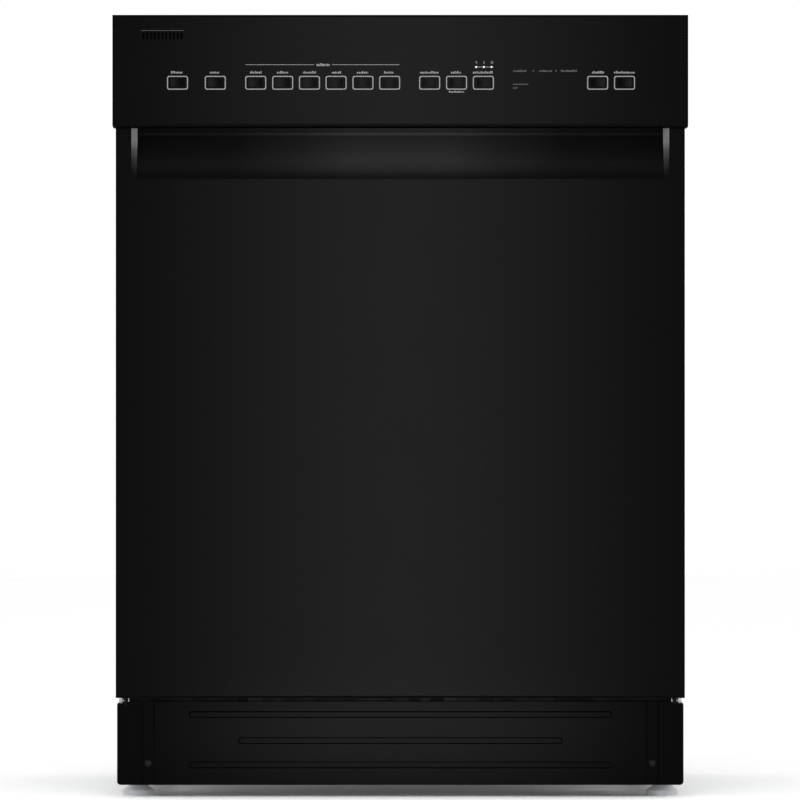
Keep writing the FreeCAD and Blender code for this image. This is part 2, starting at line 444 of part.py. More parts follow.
# Upper rack: wire floor, walls, rim, cup tines and a runner block each side.
U = UPPER_RACK
upper = [rod((x, -225.0, U["z"]), (x, 234.0, U["z"]), W) for x in long_x]
ucross = [-210.0, -140.0, -70.0, 0.0, 70.0, 140.0, 210.0]
upper += [rod((-250.0, y, U["z"] + 2 * W), (250.0, y, U["z"] + 2 * W), W) for y in ucross]
for s in (-1, 1):
    upper += [rod((s * 252.0, y, U["z"] - W), (s * 252.0, y, U["rim"]), W) for y in ucross[::2]]
    upper.append(rod((s * 252.0, -229.5, U["rim"] + 2.5), (s * 252.0, 238.5, U["rim"] + 2.5), 2.5))
    runner = fuse([box(254.0, 256.0, 60.0, 220.0, 540.0, 564.0), box(256.0, 267.0, 60.0, 220.0, 543.0, 561.0)])
    upper.append(runner if s > 0 else mirror_x(runner))
for x in long_x[::2]:
    upper.append(rod((x, -227.0, U["z"] - W), (x, -227.0, U["rim"]), W))
    upper.append(rod((x, 236.0, U["z"] - W), (x, 236.0, U["rim"]), W))
upper += [rod((-249.5, -227.0, U["rim"] + 2.5), (249.5, -227.0, U["rim"] + 2.5), 2.5),
          rod((-249.5, 236.0, U["rim"] + 2.5), (249.5, 236.0, U["rim"] + 2.5), 2.5),
          rod((-228.0, -223.0, 545.0), (228.0, -223.0, 545.0), W), rod((-228.0, 232.0, 545.0), (228.0, 232.0, 545.0), W)]
for x in (-168.0, -56.0, 56.0, 168.0):
    upper += [rod((x, y, U["z"] + 3 * W), (x, y, 540.0), W) for y in ucross[1:6]]
save("upper_rack", upper)

# Wash manifold under the upper rack, with the spindle that carries the upper spray arm.
save("upper_wash_manifold", fuse([cyl(9.0, (0, -6.0, 473.0), (0, 1, 0), 246.0), cyl(12.0, (0, 232.0, 473.0), (0, 1, 0), 11.2).common(box(-20, 20, 200, 250, 400, 482.0)),
                                  cyl(14.0, (0, 0, 464.0), (0, 0, 1), 9.0), cyl(12.0, (0, 0, 460.3), (0, 0, 1), 4.0),
                                  cyl(7.0, (0, 0, 447.0), (0, 0, 1), 14.0), cyl(12.0, (0, 0, 446.0), (0, 0, 1), 3.7)]))

# Telescoping tracks: C channels between the guides and the rack runners.
track = box(260.0, 272.0, -225.0, 235.0, 540.0, 564.0).cut(box(259.0, 270.0, -226.0, 236.0, 542.0, 562.0))
save("upper_rack_tracks", [track, mirror_x(track)])

# ================================================================ door
def yz_wire(parts, x):
    """Closed profile across X: ('l', y, z) is a straight run to a point, ('a', ym, zm, y, z) an arc through (ym, zm)."""
    start = cur = V(x, parts[0][1], parts[0][2])
    edges = []
    for p in parts[1:]:
        end = V(x, p[-2], p[-1])
        if p[0] == "l":
            edges.append(Part.LineSegment(cur, end).toShape())
        else:
            edges.append(Part.Arc(cur, V(x, p[1], p[2]), end).toShape())
        cur = end
    edges.append(Part.LineSegment(cur, start).toShape())
    return Part.Wire(edges)

# Grip pocket: a rounded sill, a rising slope, then a plain back that runs up behind the console skirt.
SL = math.atan2(28.0, 48.0)                       # slope leans back from the vertical by this angle
def pocket(off):
    r1, r2 = 16.0 - off, 12.0 + off
    c1, c2 = (-285.0, POCKET_Z0 - 4.3), (-285.0, POCKET_Z1 + 3.24)
    def on(c, r, a, s):
        return (c[0] - s * r * math.cos(a), c[1] + s * r * math.sin(a))
    m1, e1 = on(c1, r1, SL / 2, 1), on(c1, r1, SL, 1)
    s2, m2 = on(c2, r2, SL, -1), on(c2, r2, SL / 2, -1)
    w = yz_wire([("s", -304.0, c1[1]), ("l", c1[0] - r1, c1[1]), ("a", m1[0], m1[1], e1[0], e1[1]), ("l", s2[0], s2[1]),
                 ("a", m2[0], m2[1], c2[0] + r2, c2[1]), ("l", c2[0] + r2, 727.0), ("l", -304.0, 727.0)], -290.0)
    body = Part.Face(w).extrude(V(580.0, 0, 0))
    k = (POCKET_HW - POCKET_HW_IN) / POCKET_D
    a, b = POCKET_HW + 3 * k + off, POCKET_HW_IN - 2 * k + off
    return body.common(prism([(-a, -304.0), (a, -304.0), (b, Y_PANEL + POCKET_D + 2.0), (-b, Y_PANEL + POCKET_D + 2.0)], "z", 600.0, 730.0))

# Door outer panel: folded sheet with side and lower returns and a screw flange at the rear of each side.
SKIN = 1.5
slab = box(-DOOR_HW, DOOR_HW, Y_PANEL, Y_LINER - 2.0, Z_DOOR, Z_SHELF)
slab = slab.makeFillet(2.6, [e for e in slab.Edges if all(abs(v.Point.y - Y_PANEL) < 1e-6 and abs(abs(v.Point.x) - DOOR_HW) < 1e-6 for v in e.Vertexes)
                             or all(abs(v.Point.y - Y_PANEL) < 1e-6 and abs(v.Point.z - Z_DOOR) < 1e-6 for v in e.Vertexes)])
core = box(-DOOR_HW + SKIN, DOOR_HW - SKIN, Y_PANEL + SKIN, Y_LINER, Z_DOOR + SKIN, Z_SHELF + 1)
core = core.makeFillet(1.2, [e for e in core.Edges if all(abs(v.Point.y - Y_PANEL - SKIN) < 1e-6 and abs(abs(v.Point.x) - DOOR_HW + SKIN) < 1e-6 for v in e.Vertexes)])
panel = slab.cut(core)
for s in (-1, 1):                                  # open lower corners around the hinges
    panel = panel.cut(box(*sorted((s * 286.0, s * (DOOR_HW - SKIN))), Y_PANEL + 4.0, Y_LINER, Z_DOOR - 1, Z_DOOR + 3.0))
panel = panel.cut(box(-286.0, 286.0, -262.0, Y_LINER, Z_DOOR - 1, Z_DOOR + 3.0))
panel = panel.cut(pocket(SKIN)).fuse(pocket(SKIN).common(box(-300, 300, Y_PANEL, -260, 600, Z_SHELF)).cut(pocket(0.0)))
screw_z = [330.0, 430.0, 530.0, 630.0, 710.0]
for s in (-1, 1):
    panel = panel.fuse(box(*sorted((s * 289.5, s * (DOOR_HW - 1.0))), -259.0, -257.0, 315.0, Z_SHELF - 1.0))
    for z in screw_z:
        panel = panel.cut(cyl(2.0, (s * 294.5, -262.0, z), (0, 1, 0), 8.0))
save("door_outer_panel", panel.removeSplitter())

# Door inner liner: stainless pan with a shallow dish, openings for the dispenser, vent and strike.
VENT_X, VENT_Z = 185.0, 668.0
DISP = (-112.0, 72.0, 338.0, 462.0)
liner = box(-299.5, 299.5, -257.0, Y_LINER, 165.0, 823.4).fuse(box(-287.0, 287.0, -257.0, Y_LINER, PIVOT_Z, 170.0))
dish_out = rounded(-255.0, 255.0, -265.0, -256.0, 160.0, 720.0, 22.0, "y")
dish_in = rounded(-253.0, 253.0, -263.0, -250.0, 162.0, 718.0, 20.0, "y")
liner = liner.fuse(dish_out).cut(dish_in)
liner = liner.cut(box(DISP[0] + 5, DISP[1] - 5, -270, -250, DISP[2] + 5, DISP[3] - 5)).cut(box(-16, 16, -270, -250, 812.5, 821.5))
liner = liner.cut(cyl(28.5, (VENT_X, -270, VENT_Z), (0, 1, 0), 20))
for s in (-1, 1):
    for z in screw_z:
        liner = liner.cut(cyl(2.0, (s * 294.5, -262.0, z), (0, 1, 0), 10.0))
save("door_inner_liner", liner.removeSplitter())

def pan_screw(x, z):
    h = Part.makeSphere(4.6, V(x, -257.2, z)).common(cyl(3.8, (x, -255.0, z), (0, 1, 0), 2.4)).fuse(cyl(1.8, (x, -261.5, z), (0, 1, 0), 7.0))
    return h.cut(box(x - 1.9, x + 1.9, -253.6, -252.0, z - 0.4, z + 0.4)).cut(box(x - 0.4, x + 0.4, -253.6, -252.0, z - 1.9, z + 1.9))

save("door_screws", [pan_screw(s * 294.5, z) for s in (-1, 1) for z in screw_z])

# Control console: full-width moulding with a rolled lower skirt, button holes and a small ribbed vent.
con = box(-HALF_W, HALF_W, Y_FRONT, -257.0, Z_CONSOLE, Z_TOP)
def front_edges(shape, test):
    return [e for e in shape.Edges if all(abs(v.Point.y - Y_FRONT) < 1e-4 and test(v.Point) for v in e.Vertexes)]
con = con.makeFillet(6.5, front_edges(con, lambda p: abs(p.z - Z_CONSOLE) < 1e-4))
con = con.makeFillet(2.5, [e for e in con.Edges if abs(e.BoundBox.ZMin - Z_TOP) < 1e-4 and abs(e.BoundBox.YMax - Y_FRONT) < 1e-4]
                     + [e for e in con.Edges if e.BoundBox.ZLength > 50 and abs(e.BoundBox.YMax - Y_FRONT) < 1e-4])
con = con.cut(box(-300.2, 300.2, -308.0, -256.0, 729.0, 823.5))
con = con.cut(box(-300.2, 300.2, -303.0, -256.0, 700.0, Z_SHELF)).cut(box(-300.2, 300.2, -308.0, -302.0, 717.0, Z_SHELF))
for s in (-1, 1):
    con = con.cut(box(*sorted((s * 299.0, s * 305.0)), -285.0, -256.0, 700.0, Z_SHELF))
for x in BUTTON_X.values():
    con = con.cut(rounded(x - HOLE_W / 2, x + HOLE_W / 2, Y_FRONT - 2, -307.0, BUTTON_Z - HOLE_H / 2, BUTTON_Z + HOLE_H / 2, 1.6, "y"))
for k in range(11):
    x = -270.3 + 4.0 * k
    con = con.cut(box(x - 1.1, x + 1.1, Y_FRONT - 2, -307.0, 800.2, 807.4))
STATUS = (118.4, 186.2, 763.0, 771.0)
con = con.cut(rounded(STATUS[0], STATUS[1], Y_FRONT - 2, -307.0, STATUS[2], STATUS[3], 1.5, "y"))
LED_X = (80.0, 88.0, 96.0)
for x in LED_X:
    con = con.cut(box(x - 2.2, x + 2.2, Y_FRONT - 2, -307.0, 769.3, 772.7))
post_x = (-250.0, -130.0, 0.0, 150.0, 250.0)
con = con.fuse([cyl(3.5, (x, -308.5, 783.0), (0, 1, 0), 10.5) for x in post_x])
save("control_console", con.removeSplitter())

# Indicator lenses: one smoked status window and three small lenses.
lens = [rounded(STATUS[0], STATUS[1], Y_FRONT, -307.0, STATUS[2], STATUS[3], 1.5, "y").fuse(box(STATUS[0] - 2, STATUS[1] + 2, -308.0, -306.0, STATUS[2] - 1, STATUS[3] + 2))]
lens += [box(x - 2.2, x + 2.2, Y_FRONT, -305.0, 769.3, 772.7) for x in LED_X]
save("indicator_lenses", lens)

# Control board on five posts, with one tact switch behind each button.
board = box(-262.0, 262.0, -298.0, -296.4, 738.0, 791.0)
board = board.fuse([box(x - 3.0, x + 3.0, -301.8, -297.9, BUTTON_Z - 3.0, BUTTON_Z + 3.0) for x in BUTTON_X.values()])
board = board.fuse([box(-60, -10, -296.5, -284.0, 764.0, 786.0), box(120, 150, -296.5, -280.0, 745.0, 780.0), box(160, 178, -296.5, -286.0, 745.0, 770.0)])
save("control_board", board.removeSplitter())

# Push buttons: dished cap in the console hole, retaining flange behind it and a short stem.
def button(x):
    w, h, y0 = BUTTON_W / 2, BUTTON_H / 2, Y_FRONT - 0.6
    cap = rounded(x - w, x + w, y0, -306.5, BUTTON_Z - h, BUTTON_Z + h, 1.3, "y")
    cap = cap.makeFillet(0.5, [e for e in cap.Edges if abs(e.BoundBox.YMax - y0) < 1e-4])
    cap = cap.cut(cyl(60.0, (x, y0 - 59.55, BUTTON_Z - 20), (0, 0, 1), 40.0).common(box(x - w + 1.4, x + w - 1.4, -320, -300, BUTTON_Z - h + 1.2, BUTTON_Z + h - 1.2)))
    return cap.fuse([box(x - 11, x + 11, -307.6, -306.0, BUTTON_Z - 7, BUTTON_Z + 7), box(x - 3.5, x + 3.5, -306.2, -303.2, BUTTON_Z - 2.5, BUTTON_Z + 2.5)]).removeSplitter()

for name, x in BUTTON_X.items():
    save(name, button(x))

# Detergent dispenser: face frame on the dish, open detergent cup on the left, closed rinse-aid tank on the right.
DX0, DX1, DZ0, DZ1 = DISP
CUP = (-102.0, -18.0, 362.0, 442.0)
CAP_X, CAP_Z = 32.0, 418.0
disp = rounded(DX0, DX1, -263.0, -260.0, DZ0, DZ1, 8.0, "y")
disp = disp.fuse(box(DX0 + 6, DX1 - 6, -293.0, -262.0, DZ0 + 6, DZ1 - 6))
disp = disp.cut(rounded(CUP[0], CUP[1], -287.0, -259.0, CUP[2], CUP[3], 8.0, "y"))
disp = disp.cut(box(6.0, 58.0, -289.0, -264.0, 352.0, 452.0)).cut(cyl(13.5, (CAP_X, -265.0, CAP_Z), (0, 1, 0), 10.0))
for s in (-1, 1):      # lid hinge ears with pins
    ex = (CUP[0] + CUP[1]) / 2 + s * 36.0
    disp = disp.fuse(box(*sorted((ex, ex + s * 3.0)), -260.5, -255.9, 352.6, 359.8))
    disp = disp.fuse(cyl(1.2, (ex - s * 4.0 if s > 0 else ex, -257.6, 356.2), (1, 0, 0), 4.0))
save("detergent_dispenser", disp.removeSplitter())

# Dispenser lid: shallow plate over the cup with two barrels at the lower edge.
lx = (CUP[0] + CUP[1]) / 2
lid = rounded(lx - 44.0, lx + 44.0, -259.6, -257.2, 360.2, 446.0, 5.0, "y")
lid = lid.fuse(rounded(lx - 30.0, lx + 30.0, -257.4, -256.0, 372.0, 434.0, 5.0, "y"))
for s in (-1, 1):
    b = cyl(2.3, (lx + s * 35.6 - (4.0 if s > 0 else 0.0), -257.6, 356.2), (1, 0, 0), 4.0)
    b = b.fuse(box(*sorted((lx + s * 35.6, lx + s * 31.6)), -259.2, -257.2, 357.0, 361.5)).cut(cyl(1.25, (lx - 60, -257.6, 356.2), (1, 0, 0), 120.0))
    lid = lid.fuse(b)
save("dispenser_lid", lid.removeSplitter())

# Rinse-aid cap: round cap with a raised grip bar, turned a quarter turn to release it.
cap = cyl(13.0, (CAP_X, -264.6, CAP_Z), (0, 1, 0), 6.6).fuse(box(CAP_X - 10.5, CAP_X + 10.5, -258.2, -255.7, CAP_Z - 1.8, CAP_Z + 1.8))
save("rinse_aid_cap", cap.removeSplitter())

# Door vent: louvred round grille with a short duct behind it.
vent = cyl(34.0, (VENT_X, -263.0, VENT_Z), (0, 1, 0), 3.6).fuse(cyl(28.0, (VENT_X, -272.0, VENT_Z), (0, 1, 0), 10.0))
vent = vent.cut(cyl(25.5, (VENT_X, -274.0, VENT_Z), (0, 1, 0), 12.0))
for k in range(5):
    z = VENT_Z - 20.0 + 10.0 * k
    w = math.sqrt(24.0 ** 2 - (z - VENT_Z) ** 2)
    vent = vent.cut(box(VENT_X - w, VENT_X + w, -266.0, -258.0, z - 2.2, z + 2.2))
save("door_vent", vent.removeSplitter())

# Lower door seal: rubber strip clipped in front of the liner's lower edge with a lip under it.
save("door_bottom_seal", fuse([box(-284.0, 284.0, -261.0, -257.0, 109.0, 122.0), box(-284.0, 284.0, -258.0, -255.4, 109.0, PIVOT_Z)]))

# Hinge arms: flat steel arms inside the door sides, bored for the pivot, each with a tail pin for the link.
def hinge_arm():
    def cap(y0, z0, y1, z1, r):
        d = V(0, y1 - y0, z1 - z0)
        n = V(0, -d.z, d.y).normalize().multiply(r)
        w = Part.makePolygon([V(293.5, y0, z0) + n, V(293.5, y1, z1) + n, V(293.5, y1, z1) - n, V(293.5, y0, z0) - n, V(293.5, y0, z0) + n])
        return Part.Face(w).extrude(V(3.5, 0, 0))
    y, z = PIVOT_Y + PIN_S, PIVOT_Z + PIN_H
    arm = fuse([cyl(12.0, (293.5, PIVOT_Y, PIVOT_Z), (1, 0, 0), 3.5), box(293.5, 297.0, -287.0, -263.0, PIVOT_Z, 176.0),
                box(293.5, 297.0, -287.0, -259.2, 170.0, 300.0), cap(PIVOT_Y, PIVOT_Z, y, z, 7.0), cyl(7.0, (293.5, y, z), (1, 0, 0), 3.5),
                box(268.0, 295.0, -259.2, -257.0, 170.0, 300.0)])
    arm = arm.cut(cyl(4.05, (290.0, PIVOT_Y, PIVOT_Z), (1, 0, 0), 10.0)).fuse(cyl(3.0, (291.2, y, z), (1, 0, 0), 3.0))
    return arm.removeSplitter()

save("hinge_arms", [hinge_arm(), mirror_x(hinge_arm())])

# Door latch: housing at the top centre with a slot that takes the strike loop.
latch = box(-30.0, 30.0, -296.0, -257.0, 797.0, 823.0).cut(box(-15.5, 15.5, -276.0, -250.0, 812.5, 821.5))
latch = latch.cut(box(-30.5, 30.5, -296.5, -290.0, 797.0, 804.0))
save("door_latch", latch)
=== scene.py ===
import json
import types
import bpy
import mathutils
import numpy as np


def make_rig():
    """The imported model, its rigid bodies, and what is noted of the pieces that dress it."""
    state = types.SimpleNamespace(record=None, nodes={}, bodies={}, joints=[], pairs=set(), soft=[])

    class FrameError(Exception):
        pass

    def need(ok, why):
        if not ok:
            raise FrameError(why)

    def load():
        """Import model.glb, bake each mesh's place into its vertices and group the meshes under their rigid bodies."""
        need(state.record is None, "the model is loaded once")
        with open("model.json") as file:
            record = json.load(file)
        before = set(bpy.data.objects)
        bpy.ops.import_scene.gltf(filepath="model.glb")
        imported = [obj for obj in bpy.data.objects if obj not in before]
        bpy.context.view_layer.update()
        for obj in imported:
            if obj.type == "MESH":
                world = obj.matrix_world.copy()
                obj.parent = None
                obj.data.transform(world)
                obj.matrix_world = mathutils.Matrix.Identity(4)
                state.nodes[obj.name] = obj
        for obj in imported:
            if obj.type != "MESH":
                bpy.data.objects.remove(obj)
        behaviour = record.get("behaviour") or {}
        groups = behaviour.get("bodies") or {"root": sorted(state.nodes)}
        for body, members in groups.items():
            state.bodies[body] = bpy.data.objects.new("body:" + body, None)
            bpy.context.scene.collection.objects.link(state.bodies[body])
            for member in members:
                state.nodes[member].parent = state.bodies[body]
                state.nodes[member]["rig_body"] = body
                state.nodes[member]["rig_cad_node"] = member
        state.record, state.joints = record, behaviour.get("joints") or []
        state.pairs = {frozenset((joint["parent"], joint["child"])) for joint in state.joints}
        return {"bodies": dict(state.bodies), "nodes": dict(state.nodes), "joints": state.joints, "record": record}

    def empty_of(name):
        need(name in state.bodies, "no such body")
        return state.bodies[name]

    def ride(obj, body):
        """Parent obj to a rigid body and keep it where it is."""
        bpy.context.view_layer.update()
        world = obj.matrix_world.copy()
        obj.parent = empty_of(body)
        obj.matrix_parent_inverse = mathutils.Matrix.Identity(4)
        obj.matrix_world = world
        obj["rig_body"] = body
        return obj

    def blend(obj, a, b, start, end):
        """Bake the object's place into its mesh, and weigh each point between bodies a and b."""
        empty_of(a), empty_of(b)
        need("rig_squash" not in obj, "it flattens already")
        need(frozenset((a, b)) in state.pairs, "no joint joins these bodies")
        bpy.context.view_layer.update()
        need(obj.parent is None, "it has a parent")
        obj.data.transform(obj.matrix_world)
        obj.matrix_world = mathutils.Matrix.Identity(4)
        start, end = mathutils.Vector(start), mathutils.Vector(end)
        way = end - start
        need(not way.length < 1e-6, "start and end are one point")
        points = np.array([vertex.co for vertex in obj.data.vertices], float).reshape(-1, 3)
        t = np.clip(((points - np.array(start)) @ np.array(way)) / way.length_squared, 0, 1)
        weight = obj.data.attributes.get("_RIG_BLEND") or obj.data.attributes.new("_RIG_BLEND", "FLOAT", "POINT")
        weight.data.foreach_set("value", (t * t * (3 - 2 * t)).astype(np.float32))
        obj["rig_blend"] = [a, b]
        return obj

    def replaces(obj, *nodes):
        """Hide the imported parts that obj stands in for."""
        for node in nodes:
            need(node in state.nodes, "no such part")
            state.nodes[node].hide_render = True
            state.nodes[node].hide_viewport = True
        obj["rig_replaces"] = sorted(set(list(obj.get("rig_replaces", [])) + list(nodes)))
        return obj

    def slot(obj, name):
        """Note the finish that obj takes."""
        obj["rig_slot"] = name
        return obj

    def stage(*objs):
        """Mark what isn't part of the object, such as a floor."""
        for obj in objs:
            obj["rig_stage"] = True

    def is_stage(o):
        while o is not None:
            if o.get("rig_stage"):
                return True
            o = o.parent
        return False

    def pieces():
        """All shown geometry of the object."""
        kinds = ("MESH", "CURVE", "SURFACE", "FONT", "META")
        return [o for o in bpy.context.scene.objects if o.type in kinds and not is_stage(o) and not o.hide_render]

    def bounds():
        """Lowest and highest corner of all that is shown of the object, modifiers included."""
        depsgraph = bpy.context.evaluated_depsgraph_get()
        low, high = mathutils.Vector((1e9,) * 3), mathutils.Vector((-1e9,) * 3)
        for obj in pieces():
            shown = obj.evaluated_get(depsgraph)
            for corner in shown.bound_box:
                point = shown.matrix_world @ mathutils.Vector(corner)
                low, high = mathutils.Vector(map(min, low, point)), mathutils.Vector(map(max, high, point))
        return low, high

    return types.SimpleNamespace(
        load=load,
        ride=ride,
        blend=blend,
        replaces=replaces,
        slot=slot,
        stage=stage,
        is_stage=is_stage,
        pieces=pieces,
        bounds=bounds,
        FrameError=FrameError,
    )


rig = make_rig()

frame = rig.load()
import bpy, bmesh, json, math, random
from mathutils import Vector

cad_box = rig.bounds()
MM = 0.001
scene = bpy.context.scene
scene.view_settings.view_transform = "Standard"
scene.view_settings.look = "None"
random.seed(24)


# ------------------------------------------------------------------ materials
def new_mat(name):
    m = bpy.data.materials.new(name)
    m.use_nodes = True
    nt = m.node_tree
    bsdf = next(n for n in nt.nodes if n.type == "BSDF_PRINCIPLED")
    return m, nt, bsdf


def coords(nt, scale=(1, 1, 1)):
    tc = nt.nodes.new("ShaderNodeTexCoord")
    mp = nt.nodes.new("ShaderNodeMapping")
    mp.inputs["Scale"].default_value = scale
    nt.links.new(tc.outputs["Object"], mp.inputs["Vector"])
    return mp.outputs["Vector"]


def noise(nt, vec, scale, detail=3.0, rough=0.55):
    n = nt.nodes.new("ShaderNodeTexNoise")
    n.inputs["Scale"].default_value = scale
    n.inputs["Detail"].default_value = detail
    n.inputs["Roughness"].default_value = rough
    nt.links.new(vec, n.inputs["Vector"])
    return n.outputs["Fac"]


def ramp(nt, fac, stops):
    r = nt.nodes.new("ShaderNodeValToRGB")
    els = r.color_ramp.elements
    while len(els) < len(stops):
        els.new(0.5)
    for e, (p, c) in zip(els, stops):
        e.position = p
        e.color = (*c, 1.0) if len(c) == 3 else c
    nt.links.new(fac, r.inputs["Fac"])
    return r.outputs["Color"]


def to_range(nt, fac, lo, hi):
    m = nt.nodes.new("ShaderNodeMapRange")
    m.inputs["To Min"].default_value = lo
    m.inputs["To Max"].default_value = hi
    nt.links.new(fac, m.inputs["Value"])
    return m.outputs["Result"]


def bump(nt, bsdf, height, strength, dist):
    b = nt.nodes.new("ShaderNodeBump")
    b.inputs["Strength"].default_value = strength
    b.inputs["Distance"].default_value = dist
    nt.links.new(height, b.inputs["Height"])
    nt.links.new(b.outputs["Normal"], bsdf.inputs["Normal"])


def grey(v, k=1.0):
    return (v * k, v * k, v * k)


def tint(c, k):
    return tuple(min(1.0, x * k) for x in c)


def moulded(name, col, rough=0.45, spec=0.4, grain=1400.0, strength=0.12, metal=0.0, vary=0.1, coat=0.0):
    """Plastic, rubber or plain metal: fine grain in the bump, slow drift in colour and roughness."""
    m, nt, b = new_mat(name)
    v = coords(nt)
    slow = noise(nt, v, 9.0, 4.0)
    fine = noise(nt, v, grain, 2.0)
    c = ramp(nt, slow, [(0.3, tint(col, 1 - vary)), (0.7, tint(col, 1 + vary))])
    nt.links.new(c, b.inputs["Base Color"])
    nt.links.new(to_range(nt, noise(nt, v, 38.0, 5.0), rough - 0.06, rough + 0.06), b.inputs["Roughness"])
    b.inputs["Specular IOR Level"].default_value = spec
    b.inputs["Metallic"].default_value = metal
    if coat:
        b.inputs["Coat Weight"].default_value = coat
        b.inputs["Coat Roughness"].default_value = 0.12
    bump(nt, b, fine, strength, 0.0002)
    return m


def brushed(name, col, rough=0.3, along="x", strength=0.05, metal=1.0):
    """Rolled or brushed steel: long streaks along one axis, a soft cloudy stain and faint water marks."""
    m, nt, b = new_mat(name)
    k = {"x": (2.0, 420.0, 420.0), "y": (420.0, 2.0, 420.0), "z": (420.0, 420.0, 2.0)}[along]
    streak = noise(nt, coords(nt, k), 1.0, 6.0, 0.6)
    cloud = noise(nt, coords(nt), 7.0, 5.0, 0.6)
    mix = nt.nodes.new("ShaderNodeMath")
    mix.operation = "MULTIPLY_ADD"
    mix.inputs[1].default_value = 0.45
    nt.links.new(streak, mix.inputs[0])
    nt.links.new(to_range(nt, cloud, 0.1, 0.45), mix.inputs[2])
    c = ramp(nt, mix.outputs["Value"], [(0.25, tint(col, 0.86)), (0.75, tint(col, 1.08))])
    nt.links.new(c, b.inputs["Base Color"])
    nt.links.new(to_range(nt, mix.outputs["Value"], rough - 0.07, rough + 0.1), b.inputs["Roughness"])
    b.inputs["Metallic"].default_value = metal
    bump(nt, b, streak, strength, 0.0001)
    return m


def galvanised(name):
    m, nt, b = new_mat(name)
    vo = nt.nodes.new("ShaderNodeTexVoronoi")
    vo.inputs["Scale"].default_value = 85.0
    vo.inputs["Randomness"].default_value = 1.0
    nt.links.new(coords(nt), vo.inputs["Vector"])
    sep = nt.nodes.new("ShaderNodeSeparateColor")
    nt.links.new(vo.outputs["Color"], sep.inputs["Color"])
    c = ramp(nt, sep.outputs[0], [(0.0, (0.42, 0.43, 0.44)), (1.0, (0.62, 0.63, 0.64))])
    nt.links.new(c, b.inputs["Base Color"])
    nt.links.new(to_range(nt, sep.outputs[1], 0.3, 0.5), b.inputs["Roughness"])
    b.inputs["Metallic"].default_value = 0.9
    bump(nt, b, noise(nt, coords(nt), 300.0, 3.0), 0.08, 0.0002)
    return m


def black_front(name, base, rough, spec, orange=1.0):
    """Satin-gloss black finish: faint orange peel, slow change of sheen, fine dust in the colour."""
    m, nt, b = new_mat(name)
    v = coords(nt)
    dust = noise(nt, v, 620.0, 5.0, 0.7)
    slow = noise(nt, v, 3.2, 4.0, 0.5)
    mix = nt.nodes.new("ShaderNodeMath")
    mix.operation = "MULTIPLY"
    nt.links.new(dust, mix.inputs[0])
    nt.links.new(to_range(nt, slow, 0.75, 1.25), mix.inputs[1])
    c = ramp(nt, mix.outputs["Value"], [(0.2, grey(base * 0.8)), (0.62, grey(base)), (0.9, grey(base * 1.9))])
    nt.links.new(c, b.inputs["Base Color"])
    nt.links.new(to_range(nt, noise(nt, v, 14.0, 6.0, 0.6), rough - 0.025, rough + 0.025), b.inputs["Roughness"])
    b.inputs["Specular IOR Level"].default_value = spec
    b.inputs["IOR"].default_value = 1.5
    bump(nt, b, noise(nt, v, 420.0, 2.0), 0.035 * orange, 0.0002)
    return m


# brightness of the painted reflection in the middle of the grip pocket's back wall
POCKET_PAINTED_REFLECTION = 0.017


